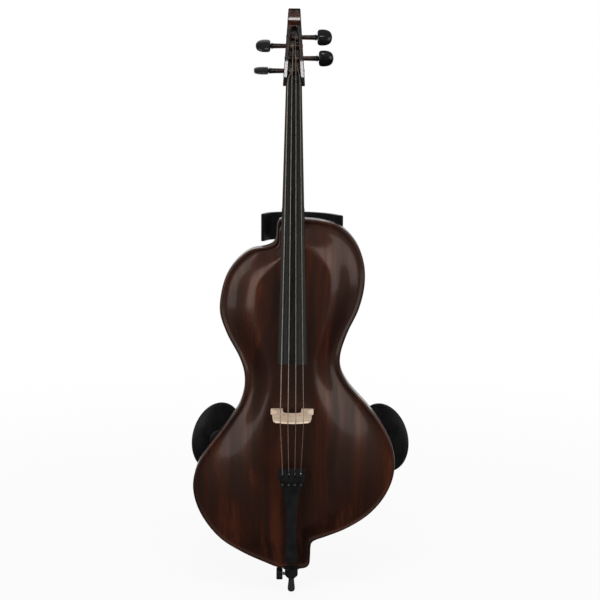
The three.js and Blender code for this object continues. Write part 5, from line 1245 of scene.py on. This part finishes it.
replace("saddle", saddlePart(saddle), 40)
replace("tail_cord", cordPart(tail), 60)


# Endpin.


def thumbKnobPart(s):
    # Six lobes and a dished outer face, along +Z from zero.
    width, bevel = s["knobWidth"], s["knobWidth"] * 0.16
    outline = lobed(s["knob"], 0.07, 6, 96)
    knob = slab(outline, 0, width, bevel, 5)
    low, high = width - 1.2 * mm, width + 1 * mm
    dish = [(0, low), (s["knob"] * 0.55, low), (s["knob"] * 0.66, high), (0, high)]
    return carved(knob, [revolve(rounded(dish, 0.8 * mm, 3), 48)])


def endpinParts(s):
    low, face = body["bottom"] - s["length"], body["bottom"] - gap
    plugTop = body["bottom"] + s["plugLength"]
    grooveLow = face - tail["cord"] - standOff
    profile = [
        (0, low), (s["mouth"], low), (s["radius"] - s["chamfer"] / 4, low + s["chamfer"]),
        (s["radius"], low + s["chamfer"] * 1.5), (s["radius"], grooveLow - s["groove"]),
        (s["radius"] - s["groove"], grooveLow), (s["radius"] - s["groove"], face),
        (s["plug"], face), (s["plug"], plugTop), (0, plugTop),
    ]
    bore = rodPart(s["rod"] + running, low - overshoot, plugTop + overshoot, 32)
    z = body["bottom"] - s["station"]
    cross = turnTo(rodPart(s["stem"] + gap, -s["radius"] - overshoot, 0, 24), alongX, (0, 0, z))
    ring = carved(revolve(rounded(profile, 0.8 * mm, 3), 64), [bore, cross])
    rodLow = s["tip"] - s["socket"] + gap
    rodTop = rodLow + s["rodLength"]
    bar = [(0, rodLow), (s["rod"], rodLow), (s["rod"], rodTop - s["rod"] / 2)]
    bar += [(s["rod"] * 0.6, rodTop), (0, rodTop)]
    rod = revolve(rounded(bar, 0.6 * mm, 3), 40)
    foot = [
        (0, 0), (s["tipFoot"], 0), (s["tipRadius"] * 0.88, s["tipFoot"] * 0.45),
        (s["tipRadius"], s["tipFoot"] * 1.2), (s["tipRadius"], s["tip"] * 0.32),
        (s["tipTop"], s["tip"] * 0.8), (s["tipTop"], s["tip"]), (0, s["tip"]),
    ]
    socket = rodPart(s["rod"] + gap, s["tip"] - s["socket"], s["tip"] + overshoot, 32)
    tip = carved(revolve(rounded(foot, 1.5 * mm, 4), 48), [socket])
    knobFace = -s["radius"] - s["travel"] - s["knobOff"]
    screw = rodPart(s["stem"], knobFace + gap, -s["rod"] - gap, 32, 0.4 * mm)
    screw = turnTo(screw, alongX, (0, 0, z))
    knob = turnTo(thumbKnobPart(s), (-1, 0, 0), (knobFace, 0, z))
    return dict(endpin_collar=ring, endpin_rod=rod, endpin_tip=tip, endpin_screw=screw, endpin_knob=knob)


for name, part in endpinParts(collar).items():
    replace(name, part, 40)
print("tailpiece and endpin made")


# Chest rest.

chest = sizes(drop=24, post=7, inner=34, socket=14, socketHeight=24, flange=22, flangeThick=4)
chest |= sizes(height=57, thick=9, left=65, right=101, back=92, leftDepth=48, rightDepth=30)
chest |= sizes(bar=26, barThick=6, foot=1.5)
chest |= dict(lip=0.55, corner=1.5 * mm)
blockTop = body["bottom"] + body["length"] - heel["length"] - 12 * mm
chestZ = blockTop - chest["drop"]
chestLow = body["bottom"] + 0.9243 * body["length"]


def chestCurve(s):
    mid = lambda low, high: low + (high - low) * 0.66
    plan = [
        (-s["left"], s["leftDepth"]), (-s["left"] * 0.74, mid(s["leftDepth"], s["back"])),
        (-s["left"] * 0.2, s["back"] * 0.985), (s["right"] * 0.24, s["back"] * 0.985),
        (s["right"] * 0.66, mid(s["rightDepth"], s["back"])), (s["right"], s["rightDepth"]),
    ]
    return evenPoints(splinePoints(np.array(plan), 24), 90)


def chestParts(s):
    curve = chestCurve(s)
    run = unitRows(np.gradient(curve, axis=0))
    normal = np.stack([-run[:, 1], run[:, 0]], axis=1)
    count = len(curve)
    edge = np.minimum(np.arange(count), count - 1 - np.arange(count)) / (count - 1)
    half = s["thick"] / 2 * np.minimum(1, s["lip"] + edge * 8)[:, None]
    # Its cross-section, a rectangle with round corners, is carried along the curve and eased in at both ends.
    ease = np.where(edge[:, None] > 0, 0, 0.9 * mm)
    turn = np.arange(24) / 24 * 2 * np.pi + np.pi / 24
    out = np.sign(np.cos(turn)) * (half - ease - s["corner"]) + s["corner"] * np.cos(turn)
    up = np.sign(np.sin(turn)) * (s["height"] / 2 - ease - s["corner"]) + s["corner"] * np.sin(turn)
    band = curve[:, None, :] + normal[:, None, :] * out[:, :, None]
    rest = skin(np.dstack([band, chestLow + s["height"] / 2 + up]), flip=True)
    flangeNear = ridgeBack + gap
    flangeFar = flangeNear + s["flangeThick"]
    socketFar = flangeFar + s["socketHeight"]
    profile = [
        (0, flangeNear), (s["flange"], flangeNear), (s["flange"], flangeFar),
        (s["socket"] + s["foot"], flangeFar), (s["socket"], flangeFar + s["foot"]),
        (s["socket"], socketFar), (0, socketFar),
    ]
    bore = rodPart(s["post"] + running, 0, socketFar + overshoot, 40)
    screwY = flangeFar + collar["knob"] + standOff
    room = turnTo(rodPart(collar["stem"] + gap, 0, s["socket"] + overshoot, 24), alongX, (0, 0, screwY))
    socket = carved(revolve(rounded(profile, 0.9 * mm, 3), 64), [bore, room])
    socket = turnTo(socket, alongY, (0, 0, chestZ))
    knobFace = s["socket"] + collar["travel"] + collar["knobOff"]
    screw = rodPart(collar["stem"], s["post"] + gap, knobFace - gap, 32, 0.4 * mm)
    screw = turnTo(screw, alongX, (0, screwY, chestZ))
    knob = turnTo(thumbKnobPart(collar), alongX, (knobFace, screwY, chestZ))
    nearest = min(curve[np.argmin(abs(curve[:, 0] - x)), 1] for x in (-s["bar"] / 2, 0, s["bar"] / 2))
    barFar = nearest - s["thick"] / 2 - standOff
    barNear = barFar - s["barThick"]
    low, high = chestZ - s["bar"] / 2, chestLow + s["height"] * 0.85
    bar = slab(roundedBox(s["bar"], high - low, s["bar"] * 0.35, 10), barNear, barFar, 1.2 * mm, 4)
    bar = backwards(bar, 0, (low + high) / 2)
    post = rodPart(s["post"], -s["inner"] / 2, barNear + 1 * mm, 40, 0.5 * mm)
    bracket = carved(bar, (), [turnTo(post, alongY, (0, 0, chestZ))])
    parts = dict(chest_rest=rest, chest_socket=socket, chest_screw=screw)
    return parts | dict(chest_knob=knob, chest_bracket=bracket)


for name, part in chestParts(chest).items():
    replace(name, part, 40)


# Knee rests.

knees = sizes(hubLeft=153, hubRight=187, pivotLeft=74, pivotRight=104, boss=17, bossRise=7, arm=7)
knees |= sizes(armWidth=26, hub=21, hubHeight=20, padHeight=148, padWidth=118, padThick=9, padDish=9)
knees |= sizes(stem=4, stemLength=12)
kneeZ = body["bottom"] + 0.373 * body["length"]
hubZ = body["bottom"] + 0.353 * body["length"]
bossFace = ridgeBack + knees["bossRise"]
kneeSides = {
    "left": (-1, -knees["hubLeft"], -knees["pivotLeft"]),
    "right": (1, knees["hubRight"], knees["pivotRight"]),
}
padYaw, padTilt = math.radians(30), math.radians(14)


def kneeParts(side, hubX, pivotX, s):
    # An arm with round ends, a hub whose outer face is cut at the plate's angle, and the dished
    # oval plate with a round rim.
    near = bossFace + gap
    far = near + s["arm"]
    run = np.array([hubX - pivotX, hubZ - kneeZ])
    heading = math.atan2(run[1], run[0])
    turn = np.linspace(0, np.pi, 25)
    ends = []
    for centre, start in ((np.zeros(2), heading + np.pi / 2), (run, heading - np.pi / 2)):
        a = start + turn
        ends.append(centre + asPoints(np.cos(a), np.sin(a)) * s["armWidth"] / 2)
    outline = np.concatenate(ends)
    arm = backwards(slab(outline, near, far, 1.0 * mm, 4), pivotX, kneeZ)
    pinLength = s["hubHeight"] / 2
    pin = rodPart(s["stem"] * 1.4, near + s["arm"] / 2, far + pinLength, 32, 0.4 * mm)
    pin = turnTo(pin, alongY, (hubX, 0, hubZ))
    eye = rodPart(s["stem"] + running, near - overshoot, far + overshoot, 32)
    eye = turnTo(eye, alongY, (pivotX, 0, kneeZ))
    arm = carved(arm, [eye], [pin])
    hubNear, hubFar = far + gap, far + gap + s["hubHeight"]
    tall = s["hubHeight"] + s["hub"]
    profile = [(0, hubNear), (s["hub"], hubNear), (s["hub"], hubNear + tall), (0, hubNear + tall)]
    hub = turnTo(revolve(rounded(profile, s["hub"] * 0.12, 4), 64), alongY)
    beyond = roundedBox(s["padHeight"] * 2, s["padHeight"] * 2, 5 * mm, 1)
    beyond = slab(beyond, -gap, s["padHeight"], 0.1 * mm, 1)
    beyond = turnTo(beyond, (math.sin(side * padYaw), math.cos(side * padYaw), 0), (0, hubFar, 0))
    room = turnTo(rodPart(s["stem"] * 1.4 + running, near, far + pinLength + gap, 32), alongY)
    hub = moved(carved(hub, [beyond, room]), hubX, 0, hubZ)
    reach, rim = s["padHeight"] / 2, s["padThick"] / 2
    radii = np.linspace(0, reach - rim, 16)
    dish = lambda r: s["padDish"] * (r / reach) ** 2
    lip = np.linspace(-np.pi / 2, np.pi / 2, 13)[1:-1]
    edgeR = reach - rim + rim * np.cos(lip)
    edgeY = dish(reach - rim) + s["padThick"] / 2 + rim * np.sin(lip)
    face, behind = asPoints(radii, dish(radii)), asPoints(radii, dish(radii) + s["padThick"])
    profile = np.concatenate([face, asPoints(edgeR, edgeY), behind[::-1]])
    pad = turnTo(revolve(profile, 96), alongY)
    pad = (pad[0] * [s["padWidth"] / s["padHeight"], 1, 1], pad[1])
    turned = Matrix.Rotation(-side * padYaw, 4, "Z") @ Matrix.Rotation(-side * padTilt, 4, "Y")
    pad = moved(placed(pad, turned), hubX, hubFar, hubZ)
    knobFace = far + gap
    knob = turnTo(thumbKnobPart(collar), alongY, (0, knobFace, 0))
    stem = turnTo(rodPart(s["stem"], bossFace - s["stemLength"], knobFace + 1 * mm, 32), alongY)
    knob = moved(carved(knob, (), [stem]), pivotX, 0, kneeZ)
    return dict(knee_arm=arm, knee_hub=hub, knee_pad=pad, knee_knob=knob)


for label, (side, hubX, pivotX) in kneeSides.items():
    for name, part in kneeParts(side, hubX, pivotX, knees).items():
        replace(f"{name}_{label}", part, 40)


# Controls and battery door on the back.

panel = sizes(x=40, length=104, width=32, thick=2.5, ledge=4, knob=9, knobHeight=13, stem=3, pitch=34)
panel |= sizes(jack=6, jackBore=3.2, jackDepth=26, potHeight=9)
panel |= sizes(cellWidth=26.5, cellLength=48.5, wall=2.5, door=2.5, lip=4, windowDepth=9, bayDepth=15)
controlZ = body["bottom"] + 0.757 * body["length"]
jackZ = controlZ - panel["pitch"] - panel["knobHeight"] / 6
toneZ, volumeZ = controlZ, controlZ + panel["pitch"]
bayWidth = panel["cellWidth"] + standOff + panel["wall"] * 2
bayLength = panel["cellLength"] + standOff + panel["wall"] * 2
doorWidth, doorLength = bayWidth + panel["lip"] * 2, bayLength + panel["lip"] * 2


def controlParts(s):
    plate = roundedBox(s["width"], s["length"], s["ledge"], 8)
    plate = slab(plate, ridgeBack - s["thick"], ridgeBack, 0.5 * mm, 3)
    holes = []
    for radius, z in ((s["stem"] + running, toneZ), (s["stem"] + running, volumeZ), (s["jack"] + gap, jackZ)):
        hole = rodPart(radius, ridgeBack - 8 * mm, ridgeBack + overshoot, 40)
        holes.append(moved(hole, 0, z - controlZ, 0))
    plate = backwards(carved(plate, holes), s["x"], controlZ)
    parts = dict(control_plate=plate)
    potFar = ridgeBack - s["thick"] - gap
    for name, z in (("volume_knob", volumeZ), ("tone_knob", toneZ)):
        face = ridgeBack + gap
        head = slab(lobed(s["knob"], 0.035, 24, 192), face, face + s["knobHeight"], 1.1 * mm, 4, lobes=True)
        mark = boxPart(0.9 * mm, s["knob"] * 0.7, 2 * mm, 0.2 * mm)
        mark = moved(mark, 0, s["knob"] * 0.55, face + s["knobHeight"])
        stem = rodPart(s["stem"], potFar - s["potHeight"] / 2, ridgeBack + 1 * mm, 32)
        parts[name] = backwards(carved(head, [mark], [stem]), s["x"], z)
    flange = ridgeBack + gap
    top, bottom = flange + s["jack"] / 3, flange + s["jack"] / 3 - s["jackDepth"]
    profile = [(0, bottom), (s["jack"], bottom), (s["jack"], flange)]
    profile += [(s["jack"] * 1.4, flange), (s["jack"] * 1.4, top), (0, top)]
    bore = rodPart(s["jackBore"], bottom + s["jack"] / 3, top + overshoot, 40)
    jack = carved(revolve(rounded(profile, 0.5 * mm, 3), 64), [bore])
    parts["output_jack"] = backwards(jack, s["x"], jackZ)
    half = s["door"] / 2
    angle = np.linspace(0, np.pi, 13)
    low, chamfer = half - doorLength, 0.5 * mm
    corners = [(-half, low + chamfer), (-half + chamfer, low), (half - chamfer, low), (half, low + chamfer)]
    side = np.concatenate([asPoints(half * np.cos(angle), half * np.sin(angle)), corners])
    leaf = slab(side, -doorWidth / 2, doorWidth / 2, 0.4 * mm, 2)
    leaf = moved(sideways(leaf), -s["x"], ridgeBack - half, controlZ + doorLength / 2 - half)
    grip = roundedBox(16 * mm, 2.4 * mm, 1.1 * mm, 6)
    grip = slab(grip, ridgeBack - 0.8 * mm, ridgeBack + 2 * mm, 0.1 * mm, 1)
    grip = backwards(grip, -s["x"], controlZ - doorLength / 2 + 7 * mm)
    parts["battery_door"] = carved(leaf, [grip])
    return parts


for name, part in controlParts(panel).items():
    replace(name, part, 40)
print("rests and controls made")


# Belly and back, with the seats of what they hold cut into them.


def bellyPart(s):
    half, grown = heel["width"] / 2 + gap, gap
    high, low = heelTop + heel["round"] + grown, heelTop - heel["length"] - grown
    mortise = slab(roundedBox(half * 2, heel["depth"] + grown * 2, 1 * mm, 2), low, high, 0.2 * mm, 1)
    mortise = placed(moved(mortise, 0, neckFront + heel["depth"] / 2, 0), neckFrame)
    plugTop = s["bottom"] + collar["plugLength"]
    plug = rodPart(collar["plug"] + grown, s["bottom"] - overshoot, plugTop + overshoot, 40)
    front = shellMesh(s, -1, s["bellyRise"], s["topFall"])
    return carved(front, [mortise, plug, saddlePart(saddle, grown)]), (mortise, plug)


def backPart(s, shared):
    bosses, cuts = [], list(shared)
    for side, hubX, pivotX in kneeSides.values():
        root = ridgeBack - 12 * mm
        profile = [(0, root), (knees["boss"], root), (knees["boss"], bossFace), (0, bossFace)]
        boss = revolve(rounded(profile, 1.2 * mm, 4), 64)
        bosses.append(turnTo(boss, alongY, (pivotX, 0, kneeZ)))
        holeLow = bossFace - knees["stemLength"] - gap
        hole = rodPart(knees["stem"] + gap, holeLow, bossFace + overshoot, 32)
        cuts.append(turnTo(hole, alongY, (pivotX, 0, kneeZ)))
    hole = rodPart(chest["socket"] + gap, -chest["inner"] / 2, ridgeBack + overshoot, 64)
    cuts.append(turnTo(hole, alongY, (0, 0, chestZ)))
    ledge = panel["ledge"]
    openings = [  # x, width, length, corner and its steps, low and high: each seat, then the window in it
        (panel["x"], panel["width"] + gap * 2, panel["length"] + gap * 2, ledge + gap, 8,
         ridgeBack - panel["thick"] - gap, ridgeBack + overshoot),
        (panel["x"], panel["width"] - ledge * 2, panel["length"] - ledge * 2, ledge / 2, 4,
         ridgeBack - panel["windowDepth"], ridgeBack + overshoot),
        (-panel["x"], doorWidth + running * 2, doorLength + running * 4, 0.4 * mm, 2,
         ridgeBack - panel["door"] - gap, ridgeBack + overshoot),
        (-panel["x"], bayWidth + gap * 2, bayLength + gap * 2, 1 * mm, 2,
         ridgeBack - panel["bayDepth"], ridgeBack + 5 * mm),
    ]
    for x, width, length, corner, steps, low, high in openings:
        opening = slab(roundedBox(width, length, corner, steps), low, high, 0.1 * mm, 1)
        cuts.append(backwards(opening, x, controlZ))
    return carved(shellMesh(s, 1, s["backRise"], 0.0), cuts, bosses)


bellyShape, sharedCuts = bellyPart(body)
replace("body_front", bellyShape, 35)
replace("body_back", backPart(body, sharedCuts), 35)
print("body made")
